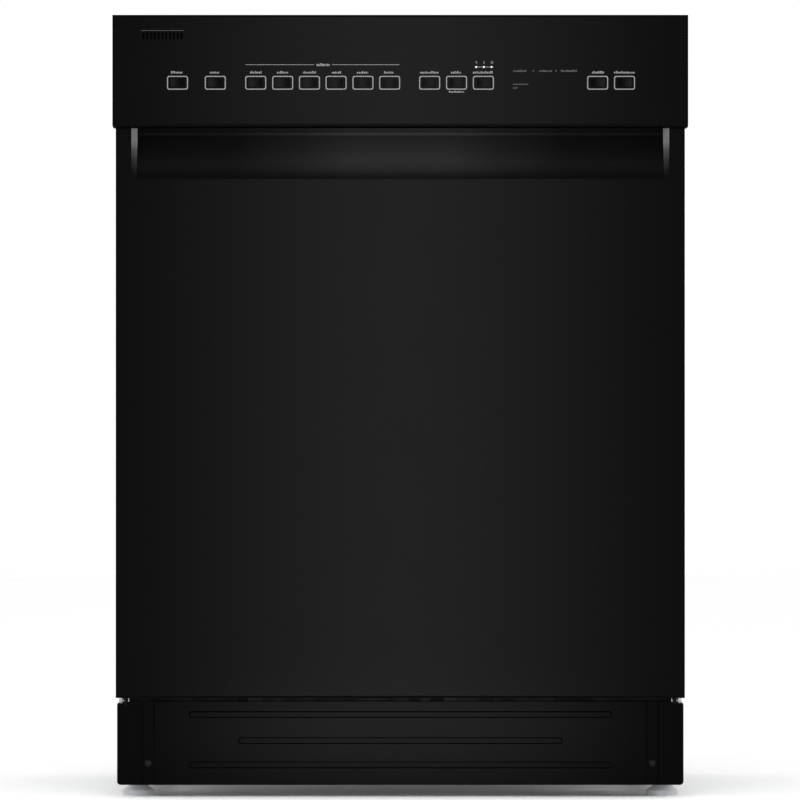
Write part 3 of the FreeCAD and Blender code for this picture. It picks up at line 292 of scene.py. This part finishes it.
def door_paint_with_painted_light(name, base, rough, spec):
    """Door finish, with a painted highlight on the side walls of the grip pocket that fades to painted shade
    downwards, and a painted reflection and glint on the pocket's back wall.
    """
    m = black_front(name, base, rough, spec)
    nt = m.node_tree
    b = next(n for n in nt.nodes if n.type == "BSDF_PRINCIPLED")
    tc = nt.nodes.new("ShaderNodeTexCoord")
    sep = nt.nodes.new("ShaderNodeSeparateXYZ")
    nt.links.new(tc.outputs["Object"], sep.inputs[0])
    ab = nt.nodes.new("ShaderNodeMath"); ab.operation = "ABSOLUTE"
    nt.links.new(sep.outputs["X"], ab.inputs[0])
    def step(value, lo, hi):
        r = nt.nodes.new("ShaderNodeMapRange")
        r.inputs["From Min"].default_value = lo
        r.inputs["From Max"].default_value = hi
        nt.links.new(value, r.inputs["Value"])
        return r.outputs["Result"]
    masks = [step(ab.outputs[0], 0.2776, 0.2780), step(ab.outputs[0], 0.2838, 0.2834), step(sep.outputs["Y"], -0.3009, -0.3005),
             step(sep.outputs["Z"], 0.648, 0.662)]
    cur = masks[0]
    for k in masks[1:]:
        mu = nt.nodes.new("ShaderNodeMath"); mu.operation = "MULTIPLY"
        nt.links.new(cur, mu.inputs[0]); nt.links.new(k, mu.inputs[1])
        cur = mu.outputs[0]
    # painted highlight on the pocket's side walls: pale at the top, fading to painted shade at the bottom
    side_wall_painted_highlight = ramp(nt, step(sep.outputs["Z"], 0.652, 0.702), [(0.0, grey(0.0013)), (0.21, grey(0.006)), (0.42, grey(0.026)), (0.63, grey(0.075)), (0.84, grey(0.24)), (1.0, grey(0.30))])
    mixc = nt.nodes.new("ShaderNodeMix"); mixc.data_type = "RGBA"
    old = b.inputs["Base Color"].links[0].from_socket
    nt.links.new(cur, mixc.inputs[0])
    nt.links.new(old, mixc.inputs[6])
    nt.links.new(side_wall_painted_highlight, mixc.inputs[7])
    # painted reflection: the pocket's back wall is painted paler towards the middle, with painted shade towards its
    # bottom and a painted glint along its top edge
    back = step(ab.outputs[0], 0.2774, 0.2770)
    for k in (masks[2], masks[3]):
        mu = nt.nodes.new("ShaderNodeMath"); mu.operation = "MULTIPLY"
        nt.links.new(back, mu.inputs[0]); nt.links.new(k, mu.inputs[1])
        back = mu.outputs[0]
    tint = ramp(nt, step(ab.outputs[0], 0.0, 0.28), [(0.0, grey(POCKET_PAINTED_REFLECTION)), (0.18, grey(POCKET_PAINTED_REFLECTION)), (0.36, grey(POCKET_PAINTED_REFLECTION * 0.62)), (0.62, grey(0.0045)), (1.0, grey(0.003))])
    # painted shade towards the bottom of the back wall and a painted glint band near its top edge
    back_wall_painted_shade_and_glint = ramp(nt, step(sep.outputs["Z"], 0.652, 0.706), [(0.0, grey(0.15)), (0.25, grey(0.7)), (0.4, grey(1.0)), (0.885, grey(1.0)), (0.895, grey(2.2)), (0.94, grey(2.2)), (0.95, grey(1.0))])
    mul = nt.nodes.new("ShaderNodeMix"); mul.data_type = "RGBA"; mul.blend_type = "MULTIPLY"
    mul.inputs[0].default_value = 1.0
    nt.links.new(tint, mul.inputs[6]); nt.links.new(back_wall_painted_shade_and_glint, mul.inputs[7])
    mix2 = nt.nodes.new("ShaderNodeMix"); mix2.data_type = "RGBA"
    nt.links.new(back, mix2.inputs[0])
    nt.links.new(mixc.outputs[2], mix2.inputs[6])
    nt.links.new(mul.outputs[2], mix2.inputs[7])
    nt.links.new(mix2.outputs[2], b.inputs["Base Color"])
    return m


def board_mat(name):
    m, nt, b = new_mat(name)
    v = coords(nt)
    w = nt.nodes.new("ShaderNodeTexWave")
    w.inputs["Scale"].default_value = 160.0
    w.inputs["Distortion"].default_value = 12.0
    nt.links.new(v, w.inputs["Vector"])
    c = ramp(nt, w.outputs["Fac"], [(0.45, (0.012, 0.075, 0.035)), (0.55, (0.03, 0.14, 0.06))])
    nt.links.new(c, b.inputs["Base Color"])
    nt.links.new(to_range(nt, noise(nt, v, 60.0), 0.3, 0.45), b.inputs["Roughness"])
    return m


def printed(name, col):
    """Screen-printed ink, slightly uneven."""
    m, nt, b = new_mat(name)
    v = coords(nt)
    c = ramp(nt, noise(nt, v, 900.0, 3.0), [(0.3, tint(col, 0.82)), (0.7, tint(col, 1.08))])
    nt.links.new(c, b.inputs["Base Color"])
    nt.links.new(to_range(nt, noise(nt, v, 300.0), 0.4, 0.6), b.inputs["Roughness"])
    b.inputs["Specular IOR Level"].default_value = 0.2
    return m


M = {
    "door": door_paint_with_painted_light("door_paint_with_painted_light", 0.0007, 0.20, 0.028),
    "console": black_front("console_moulding", 0.0007, 0.20, 0.028, 0.7),
    # the toe panel's black paint, made darker than the door's as painted shade for its place recessed under the door
    "toe": black_front("toe_paint_painted_shade", 0.0002, 0.20, 0.026),
    "button": black_front("button_moulding", 0.0007, 0.20, 0.028, 0.6),
    "lens": black_front("smoked_lens", 0.0005, 0.16, 0.028, 0.2),
    "stainless": brushed("stainless", (0.55, 0.55, 0.54), 0.27, "z", 0.06),
    "stainless_x_with_painted_shade": brushed("stainless_cross_with_painted_shade", (0.56, 0.56, 0.55), 0.25, "x", 0.06),
    "zinc": galvanised("zinc_plated"),
    "zinc_bar_painted_shade": galvanised("zinc_plated_bar_painted_shade"),
    "zinc_rail_painted_shade": galvanised("zinc_plated_rail_painted_shade"),
    "heater": brushed("heater_sheath", (0.30, 0.27, 0.24), 0.42, "y", 0.1),
    "spring": brushed("spring_wire", (0.40, 0.40, 0.41), 0.33, "x", 0.08),
    "screw": brushed("bright_screw", (0.62, 0.62, 0.62), 0.24, "y", 0.05),
    "rubber": moulded("rubber", (0.018, 0.018, 0.019), 0.66, 0.25, 700.0, 0.3),
    "nylon": moulded("black_nylon", (0.02, 0.02, 0.021), 0.5, 0.35, 900.0, 0.2),
    "pump": moulded("pump_plastic", (0.035, 0.036, 0.04), 0.48, 0.35, 700.0, 0.2),
    "grey": moulded("grey_plastic", (0.19, 0.195, 0.205), 0.42, 0.4, 1000.0, 0.12),
    "pale": moulded("pale_plastic", (0.42, 0.43, 0.45), 0.4, 0.4, 1000.0, 0.12),
    "wire": moulded("coated_wire", (0.30, 0.31, 0.325), 0.36, 0.45, 500.0, 0.1, vary=0.06),
    "blackscrew": black_front("black_screw", 0.004, 0.34, 0.10, 0.5),
    "board": board_mat("circuit_board"),
    "ink": printed("printed_ink", (0.18, 0.18, 0.18)),
    "inkdim": printed("printed_ink_dim", (0.05, 0.05, 0.05)),
    "led": printed("lamp_lens", (0.62, 0.62, 0.60)),
}
def paint_shade_pad(m, tests):
    """Painted shade: near-black colour where every test on the object position holds, so the spot reads dark as if in
    shade.
    """
    nt = m.node_tree
    b = next(n for n in nt.nodes if n.type == "BSDF_PRINCIPLED")
    tc = nt.nodes.new("ShaderNodeTexCoord")
    sep = nt.nodes.new("ShaderNodeSeparateXYZ")
    nt.links.new(tc.outputs["Object"], sep.inputs[0])
    out = None
    for sock, lo, hi in tests:
        r = nt.nodes.new("ShaderNodeMapRange")
        r.inputs["From Min"].default_value = lo
        r.inputs["From Max"].default_value = hi
        nt.links.new(sep.outputs[sock], r.inputs["Value"])
        if out is None:
            out = r.outputs["Result"]
        else:
            mu = nt.nodes.new("ShaderNodeMath"); mu.operation = "MULTIPLY"
            nt.links.new(out, mu.inputs[0]); nt.links.new(r.outputs["Result"], mu.inputs[1])
            out = mu.outputs[0]
    mx = nt.nodes.new("ShaderNodeMix"); mx.data_type = "RGBA"
    nt.links.new(out, mx.inputs[0])
    src = b.inputs["Base Color"]
    if src.links:
        nt.links.new(src.links[0].from_socket, mx.inputs[6])
    else:
        mx.inputs[6].default_value = src.default_value
    # near-black painted shade
    mx.inputs[7].default_value = (0.004, 0.004, 0.004, 1.0)
    nt.links.new(mx.outputs[2], src)

paint_shade_pad(M["stainless_x_with_painted_shade"], (("Y", -0.2560, -0.2564), ("Z", 0.728, 0.732)))      # painted shade on the liner, behind the console
paint_shade_pad(M["zinc_bar_painted_shade"], (("Y", -0.2342, -0.2344), ("Z", 0.0605, 0.0615)))        # painted shade on the upstand behind the slot under the door
paint_shade_pad(M["zinc_rail_painted_shade"], (("Y", -0.2355, -0.2359),))                            # painted shade on the hinge brackets at the rails' front ends
LOOK = {
    "tub": "stainless", "door_inner_liner": "stainless_x_with_painted_shade", "tub_gasket": "rubber", "door_bottom_seal": "rubber",
    "toe_panel": "toe", "toe_panel_screws": "blackscrew", "door_screws": "screw", "door_outer_panel": "door",
    "control_console": "console", "indicator_lenses": "lens", "control_board": "board", "door_latch": "nylon", "track_guides": "nylon",
    "heating_element": "heater", "wash_pump": "pump", "drain_pump": "pump", "inlet_valve": "pump", "filter_cylinder": "pale", "float": "pale",
    "silverware_basket": "pale", "lower_rack_wheels_front": "pale", "lower_rack_wheels_rear": "pale", "sump": "grey",
    "detergent_dispenser": "grey", "dispenser_lid": "grey", "rinse_aid_cap": "nylon", "door_vent": "grey", "spray_feed_tube": "grey",
    "upper_wash_manifold": "grey", "lower_spray_arm": "pale", "upper_spray_arm": "pale", "lower_rack": "wire", "upper_rack": "wire", "door_springs": "spring",
}
for n in ("side_rail_right", "side_rail_left", "cross_members", "junction_box", "mounting_tabs", "balance_links", "hinge_arms", "door_strike", "upper_rack_tracks"):
    LOOK[n] = "zinc"
LOOK["cross_members"] = "zinc_bar_painted_shade"
LOOK["side_rail_left"] = LOOK["side_rail_right"] = "zinc_rail_painted_shade"
for n in frame["nodes"]:
    if n.startswith("leg_"):
        LOOK[n] = "pale"
    if n.endswith("_button") or n.startswith("cycle_button"):
        LOOK[n] = "button"
for n, o in frame["nodes"].items():
    if not o.material_slots:
        o.data.materials.append(M[LOOK[n]])
    for s in o.material_slots:
        s.material = M[LOOK[n]]


# ------------------------------------------------------------------ geometry helpers
def finish_obj(name, bm, mat, smooth=True, angle=35):
    me = bpy.data.meshes.new(name)
    bm.normal_update()
    bm.to_mesh(me)
    bm.free()
    o = bpy.data.objects.new(name, me)
    scene.collection.objects.link(o)
    me.materials.append(M[mat])
    if smooth:
        for p in me.polygons:
            p.use_smooth = True
        mod = o.modifiers.new("edges", "EDGE_SPLIT")
        mod.split_angle = math.radians(angle)
    return o


def add_box(bm, x0, x1, y0, y1, z0, z1):
    vs = [bm.verts.new((x * MM, y * MM, z * MM)) for x in (x0, x1) for y in (y0, y1) for z in (z0, z1)]
    for f in ((0, 1, 3, 2), (4, 6, 7, 5), (0, 4, 5, 1), (2, 3, 7, 6), (0, 2, 6, 4), (1, 5, 7, 3)):
        bm.faces.new([vs[i] for i in f])
    return vs


def round_rect(x0, x1, z0, z1, r, n=5):
    pts = []
    for cx, cz, a0 in ((x1 - r, z1 - r, 0), (x0 + r, z1 - r, 90), (x0 + r, z0 + r, 180), (x1 - r, z0 + r, 270)):
        for k in range(n + 1):
            a = math.radians(a0 + 90 * k / n)
            pts.append((cx + r * math.cos(a), cz + r * math.sin(a)))
    return pts


def add_ring(bm, outer, inner, y0, y1):
    """A closed band between two outlines of the same length, standing from y1 (on the surface) out to y0."""
    rows = []
    for pts, y in ((outer, y1), (outer, y0), (inner, y0), (inner, y1)):
        rows.append([bm.verts.new((x * MM, y * MM, z * MM)) for x, z in pts])
    n = len(outer)
    for a, b in ((0, 1), (1, 2), (2, 3), (3, 0)):
        for i in range(n):
            j = (i + 1) % n
            bm.faces.new((rows[a][i], rows[a][j], rows[b][j], rows[b][i]))


def add_disc(bm, cx, cz, r, y0, y1, n=20):
    a = [bm.verts.new(((cx + r * math.cos(2 * math.pi * k / n)) * MM, y0 * MM, (cz + r * math.sin(2 * math.pi * k / n)) * MM)) for k in range(n)]
    b = [bm.verts.new((v.co.x, y1 * MM, v.co.z)) for v in a]
    bm.faces.new(a)
    bm.faces.new(list(reversed(b)))
    for i in range(n):
        j = (i + 1) % n
        bm.faces.new((a[i], b[i], b[j], a[j]))


def fillet_path(pts, radii, cyclic=False, steps=6):
    """Straight runs with rounded corners, in mm. radii is one number or one per inner point."""
    P = [Vector(p) for p in pts]
    n = len(P)
    out = []
    idx = range(n) if cyclic else range(1, n - 1)
    if not cyclic:
        out.append(P[0])
    for c, i in enumerate(idx):
        a, b, d = P[(i - 1) % n], P[i], P[(i + 1) % n]
        r = radii if isinstance(radii, (int, float)) else radii[c]
        u, w = (a - b).normalized(), (d - b).normalized()
        half = u.angle(w) / 2
        if half > math.radians(89) or r <= 0:
            out.append(b)
            continue
        t = min(r / math.tan(half), 0.49 * (a - b).length, 0.49 * (d - b).length)
        r = t * math.tan(half)
        bis = (u + w).normalized()
        cen = b + bis * (r / math.sin(half))
        s, e = b + u * t - cen, b + w * t - cen
        ang = s.angle(e)
        ax = s.cross(e).normalized()
        for k in range(steps + 1):
            from mathutils import Quaternion
            out.append(cen + (Quaternion(ax, ang * k / steps) @ s))
    if not cyclic:
        out.append(P[-1])
    return out


def wires(name, paths, mat, res=3):
    """Round bars along paths: each is (points in mm, radius in mm, cyclic)."""
    cu = bpy.data.curves.new(name, "CURVE")
    cu.dimensions = "3D"
    cu.bevel_depth = MM
    cu.bevel_resolution = res
    cu.use_fill_caps = True
    for pts, r, cyc in paths:
        sp = cu.splines.new("POLY")
        sp.points.add(len(pts) - 1)
        for q, p in zip(sp.points, pts):
            q.co = (p[0] * MM, p[1] * MM, p[2] * MM, 1)
            q.radius = r
        sp.use_cyclic_u = cyc
        sp.use_smooth = True
    o = bpy.data.objects.new(name, cu)
    scene.collection.objects.link(o)
    cu.materials.append(M[mat])
    return o


def slot_piece(o, body, s):
    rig.ride(o, body)
    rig.slot(o, s)
    return o


# ------------------------------------------------------------------ console printing (generic marks only)
FACE = -311.0
BUTTON_X = [-234.5, -194.7, -152.2, -123.8, -95.6, -67.6, -39.3, -11.2, 30.9, 59.2, 87.4, 207.7, 236.0]
BZ = 754.4
def px(x):
    return (x - 400.3) * 1.0526
def pz(y):
    return (787.4 - y) * 1.0526 + 12.7

bm = bmesh.new()
for x in BUTTON_X:
    add_ring(bm, round_rect(x - 11.05, x + 11.05, BZ - 7.25, BZ + 7.25, 2.3), round_rect(x - 9.95, x + 9.95, BZ - 6.15, BZ + 6.15, 1.7), FACE - 0.06, FACE + 0.02)
slot_piece(finish_obj("button_outlines", bm, "ink", False), "door", "console_plastic")

def dashes(bm, x0, x1, zc, h, seed):
    """A row of short upright strokes of uneven width and height, as a plain placeholder for a label."""
    rnd = random.Random(seed)
    x = x0
    while x < x1 - 0.5:
        w = rnd.choice((0.75, 0.95, 1.25, 1.5))
        w = min(w, x1 - x)
        hh = h * rnd.choice((0.62, 0.72, 0.72, 1.0))
        add_box(bm, x, x + w, FACE - 0.05, FACE + 0.02, zc - h / 2, zc - h / 2 + hh)
        x += w + rnd.choice((0.4, 0.5, 0.6))

bm = bmesh.new()
labels = [(171, 183), (210, 219), (250, 262), (277, 288), (303, 316), (332, 341), (357, 368), (384, 394), (420, 439), (451, 461), (473, 493), (592, 604), (614, 635)]
for k, (a, b) in enumerate(labels):
    dashes(bm, px(a), px(b), pz(72.3), 2.5, 100 + k)
dashes(bm, px(449), px(464), pz(91.7), 2.0, 150)
dashes(bm, px(316.5), px(330), pz(64.6), 3.0, 151)
add_box(bm, px(245.5), px(314), FACE - 0.05, FACE + 0.02, pz(64.7) - 0.26, pz(64.7) + 0.26)
add_box(bm, px(332), px(399.5), FACE - 0.05, FACE + 0.02, pz(64.7) - 0.26, pz(64.7) + 0.26)
slot_piece(finish_obj("console_marks", bm, "ink", False), "door", "console_plastic")

bm = bmesh.new()
for k, (a, b) in enumerate(((513, 527), (539, 552), (561, 577))):
    dashes(bm, px(a), px(b), pz(70.8), 2.2, 200 + k)
dashes(bm, px(513), px(529), pz(84.0), 1.8, 210)
dashes(bm, px(513), px(518), pz(87.7), 1.8, 211)
for x in (533.5, 556.0):
    add_disc(bm, px(x), pz(70.8), 0.8, FACE - 0.05, FACE + 0.02, 12)
add_box(bm, px(141), px(184), FACE - 0.05, FACE + 0.02, pz(30.5) - 0.25, pz(30.5) + 0.25)
slot_piece(finish_obj("console_marks_dim", bm, "inkdim", False), "door", "console_plastic")

# Seven-segment style numerals 4, 8 and 12 over the three delay lamps.
SEG = {"0": "abcdef", "1": "bc", "2": "abged", "4": "fgbc", "8": "abcdefg"}
def numeral(bm, ch, x, z, w=1.5, h=2.7, t=0.38):
    bars = {"a": (x, x + w, z + h - t, z + h), "g": (x, x + w, z + h / 2 - t / 2, z + h / 2 + t / 2), "d": (x, x + w, z, z + t),
            "f": (x, x + t, z + h / 2, z + h), "e": (x, x + t, z, z + h / 2), "b": (x + w - t, x + w, z + h / 2, z + h), "c": (x + w - t, x + w, z, z + h / 2)}
    for s in SEG[ch]:
        a, b, c, d = bars[s]
        add_box(bm, a, b, FACE - 0.05, FACE + 0.02, c, d)

bm = bmesh.new()
for text, x in (("4", 80.0), ("8", 88.0), ("12", 96.0)):
    x0 = x - (len(text) * 2.1 - 0.6) / 2
    for k, ch in enumerate(text):
        numeral(bm, ch, x0 + 2.1 * k, 774.4)
for a, b in ((78.0, 78.9), (81.1, 86.9), (89.1, 94.9), (97.1, 98.0)):
    add_box(bm, a, b, FACE - 0.05, FACE + 0.02, 770.7, 771.3)
slot_piece(finish_obj("delay_numerals", bm, "ink", False), "door", "console_plastic")
bm = bmesh.new()
for x in (80.0, 88.0, 96.0):
    add_disc(bm, x, 771.0, 1.05, FACE - 0.12, FACE + 0.02, 18)
slot_piece(finish_obj("delay_lamps", bm, "led", False), "door", "lens_plastic")


# ------------------------------------------------------------------ racks: bent, coated wires
def rack_wires(hw, y0, y1, z, rim, lower):
    paths = []
    R = 2.0
    ys = [-185, -148, -110, -75, -40, -5, 30, 68, 105, 142, 180, 212, 238] if lower else [-210, -175, -140, -105, -70, -35, 0, 35, 70, 105, 140, 175, 210]
    for y in ys:                       # hoops from rim to rim across the floor
        paths.append((fillet_path([(-hw, y, rim), (-hw, y, z + 4), (hw, y, z + 4), (hw, y, rim)], 22.0), R, False))
    xs = [-224 + 28 * k for k in range(17)]
    for x in xs:                       # wires from front rim over the floor to rear rim
        if lower:
            pts = [(x, y0, rim), (x, y0, 209.0), (x, -199.0, z), (x, y1, z), (x, y1, rim)]
            paths.append((fillet_path(pts, [16.0, 16.0, 20.0]), R, False))
        else:
            paths.append((fillet_path([(x, y0, rim), (x, y0, z), (x, y1, z), (x, y1, rim)], 18.0), R, False))
    loop = [(-hw, y0, rim + 2.5), (hw, y0, rim + 2.5), (hw, y1, rim + 2.5), (-hw, y1, rim + 2.5)]
    paths.append((fillet_path(loop, 26.0, cyclic=True, steps=10), 2.5, True))
    zb = 255.0 if lower else 545.0
    band = [(-hw + 4, y0 + 4, zb), (hw - 4, y0 + 4, zb), (hw - 4, y1 - 4, zb), (-hw + 4, y1 - 4, zb)]
    paths.append((fillet_path(band, 22.0, cyclic=True, steps=10), R, True))
    return paths


low = rack_wires(260.0, -231.0, 246.0, 174.0, 332.0, True)
for y in (30.0, 180.0):                # plate tines, leaning a little to the rear, on a round bar
    low.append(([(-214.0, y, 181.5), (214.0, y, 181.5)], 1.9, False))
    for k in range(15):
        x = -196.0 + 28.0 * k
        low.append((fillet_path([(x, y, 181.5), (x, y + 1.5, 215.0), (x, y + 5.0, 248.0)], 60.0), 1.8, False))
for k in range(7):                     # short cup tines at the front left
    x = -206.0 + 30.0 * k
    low.append(([(x, -110.0, 180.0), (x, -108.0, 226.0)], 1.8, False))
lower_wires = wires("lower_rack_wires", low, "wire")
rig.replaces(lower_wires, "lower_rack")
slot_piece(lower_wires, "lower_rack", "coated_wire")

def bevelled_box(bm, x0, x1, y0, y1, z0, z1, r):
    tmp = bmesh.new()
    add_box(tmp, x0, x1, y0, y1, z0, z1)
    bmesh.ops.recalc_face_normals(tmp, faces=tmp.faces)
    bmesh.ops.bevel(tmp, geom=list(tmp.edges) + list(tmp.verts), offset=r * MM, segments=3, profile=0.5, affect="EDGES", clamp_overlap=True)
    me = bpy.data.meshes.new("tmp")
    tmp.to_mesh(me)
    tmp.free()
    bm.from_mesh(me)
    bpy.data.meshes.remove(me)

def turned(bm, cx, y, z, profile, n=28):
    """A body of revolution about X: profile is [(x, r), ...] in mm, closed on the axis at both ends."""
    rings = []
    for x, r in profile:
        rings.append([bm.verts.new(((cx + x) * MM, (y + r * math.cos(2 * math.pi * k / n)) * MM, (z + r * math.sin(2 * math.pi * k / n)) * MM)) for k in range(n)])
    for a, b in zip(rings, rings[1:]):
        for i in range(n):
            j = (i + 1) % n
            bm.faces.new((a[i], a[j], b[j], b[i]))
    bm.faces.new(list(reversed(rings[0])))
    bm.faces.new(rings[-1])

bm = bmesh.new()
for s in (-1, 1):
    for y in (-110.0, 180.0):
        a, b = sorted((s * 257.2, s * 262.6))
        bevelled_box(bm, a, b, y - 9.0, y + 9.0, 143.5, 186.0, 1.6)
        prof = [(262.4, 4.0), (274.9, 4.0), (275.0, 5.6), (275.6, 6.0), (276.2, 5.6), (276.4, 4.4)]
        if s > 0:
            turned(bm, 0, y, 151.3, prof)
        else:
            turned(bm, 0, y, 151.3, [(-x, r) for x, r in reversed(prof)])
brackets = finish_obj("lower_rack_axle_brackets", bm, "grey")
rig.replaces(brackets, "lower_rack")
slot_piece(brackets, "lower_rack", "coated_wire")

up = rack_wires(252.0, -227.0, 236.0, 484.0, 602.0, False)
for x in (-168.0, -56.0, 56.0, 168.0):
    up.append(([(x, -158.0, 491.0), (x, 158.0, 491.0)], 1.9, False))
    for k in range(10):
        y = -140.0 + 31.1 * k
        up.append((fillet_path([(x, y, 491.0), (x + 1.2, y, 515.0), (x + 3.5, y, 539.0)], 50.0), 1.8, False))
upper_wires = wires("upper_rack_wires", up, "wire")
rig.replaces(upper_wires, "upper_rack")
slot_piece(upper_wires, "upper_rack", "coated_wire")

bm = bmesh.new()
for s in (-1, 1):
    a, b = sorted((s * 254.2, s * 256.6))
    bevelled_box(bm, a, b, 60.0, 220.0, 538.0, 566.0, 1.0)
    a, b = sorted((s * 256.0, s * 259.5))
    bevelled_box(bm, a, b, 62.0, 218.0, 544.0, 560.0, 1.0)
    for y in (72.0, 140.0, 208.0):
        prof = [(258.6, 4.0), (259.4, 8.3), (260.2, 8.9), (265.8, 8.9), (266.6, 8.3), (267.0, 4.0)]
        turned(bm, 0, y, 552.0, prof if s > 0 else [(-x, r) for x, r in reversed(prof)])
runners = finish_obj("upper_rack_runners", bm, "pale")
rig.replaces(runners, "upper_rack")
slot_piece(runners, "upper_rack", "coated_wire")

# ------------------------------------------------------------------ balance springs: coiled wire that stretches with the links
for s, side in ((-1, "left"), (1, "right")):
    turns, n = 34, 14
    pts = []
    r = 4.3
    for k in range(turns * n + 1):
        a = 2 * math.pi * k / n
        pts.append((s * (290.4 + r * math.cos(a)), -103.0 + 134.0 * k / (turns * n), 142.0 + r * math.sin(a)))
    front = fillet_path([(s * 290.4, -116.6, 142.0), (s * 290.4, -109.0, 142.0), (s * 294.7, -103.0, 142.0)], 3.0)
    rear = fillet_path([(s * 294.7, 31.0, 142.0), (s * 290.4, 37.0, 142.0), (s * 290.4, 51.8, 142.0)], 3.0)
    cu = wires("door_spring_" + side, [(front[:-1] + pts + rear[1:], 1.05, False)], "spring", 2)
    dg = bpy.context.evaluated_depsgraph_get()
    me = bpy.data.meshes.new_from_object(cu.evaluated_get(dg))
    o = bpy.data.objects.new("door_spring_coil_" + side, me)
    scene.collection.objects.link(o)
    bpy.data.objects.remove(cu)
    for p in me.polygons:
        p.use_smooth = True
    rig.replaces(o, "door_springs")
    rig.slot(o, "spring_steel")
    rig.blend(o, "balance_links", "cabinet", start=(s * 0.2904, -0.106, 0.142), end=(s * 0.2904, 0.034, 0.142))

# ------------------------------------------------------------------ floor, light, camera
def stage_mesh(name, verts, faces, mat_obj):
    me = bpy.data.meshes.new(name)
    me.from_pydata(verts, [], faces)
    o = bpy.data.objects.new(name, me)
    scene.collection.objects.link(o)
    me.materials.append(mat_obj)
    for p in me.polygons:
        p.use_smooth = True
    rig.stage(o)
    return o

m, nt, b = new_mat("stage_floor")
c = ramp(nt, noise(nt, coords(nt), 2.0, 3.0), [(0.3, grey(0.93)), (0.7, grey(0.945))])
nt.links.new(c, b.inputs["Base Color"])
b.inputs["Roughness"].default_value = 0.9
b.inputs["Specular IOR Level"].default_value = 0.1
prof = [(-11.0, 0.0), (11.0, 0.0)]
V_, F_ = [], []
for y, z in prof:
    V_ += [(-9.0, y, z), (9.0, y, z)]
for i in range(len(prof) - 1):
    F_.append((2 * i, 2 * i + 1, 2 * i + 3, 2 * i + 2))
stage_mesh("stage_ground", V_, F_, m)

w = bpy.data.worlds.new("studio")
scene.world = w
w.use_nodes = True
bg = next(n for n in w.node_tree.nodes if n.type == "BACKGROUND")
bg.inputs["Color"].default_value = (1.0, 1.0, 1.0, 1.0)
bg.inputs["Strength"].default_value = 1.05

def area(name, loc, look, sx, sy, power, camera=False):
    l = bpy.data.lights.new(name, "AREA")
    l.shape = "RECTANGLE"
    l.size, l.size_y = sx, sy
    l.energy = power
    o = bpy.data.objects.new(name, l)
    scene.collection.objects.link(o)
    o.location = loc
    o.rotation_euler = (Vector(look) - Vector(loc)).to_track_quat("-Z", "Y").to_euler()
    o.visible_camera = camera
    return o

STRIP = 0.98

def radiance_power(sx, sy, rad):
    """Watts that give a rectangular light this radiance."""
    return rad * sx * sy * math.pi

# one soft tall reflection down the middle: nested strips, so it fades evenly towards both sides
for k in range(7):
    wd = 0.60 - 0.085 * k
    area("strip_%d" % k, (0.0, -1.42 - 0.002 * k, 0.55), (0.0, 0.0, 0.55), wd, 1.08, radiance_power(wd, 1.08, STRIP))
for k in range(5):
    wd = 0.50 - 0.095 * k
    area("low_strip_%d" % k, (0.0, -0.74 - 0.002 * k, 0.046), (0.0, 0.0, 0.046), wd, 0.084, radiance_power(wd, 0.084, 1.15))
area("key_left", (-2.6, -2.2, 3.2), (0.0, 0.0, 0.4), 1.6, 1.6, 30.0)
area("fill_right", (2.8, -1.4, 2.6), (0.0, 0.0, 0.4), 1.8, 1.8, 20.0)

cam = bpy.data.cameras.new("camera")
cam.sensor_width = 36.0
DIST, PLANE = 9.0, -0.311
cam.lens = 36.0 * (DIST + PLANE) / (800 * 1.0526 * MM)
cam.clip_end = 60.0
camo = bpy.data.objects.new("camera", cam)
scene.collection.objects.link(camo)
camo.location = (px(400) * MM, -DIST, pz(400) * MM)
camo.rotation_euler = (math.radians(90), 0, 0)
scene.camera = camo

vis_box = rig.bounds()
try:
    json.dump({"cad": [list(cad_box[0]), list(cad_box[1])], "visual": [list(vis_box[0]), list(vis_box[1])]}, open("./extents.json", "w"))
except OSError:
    pass
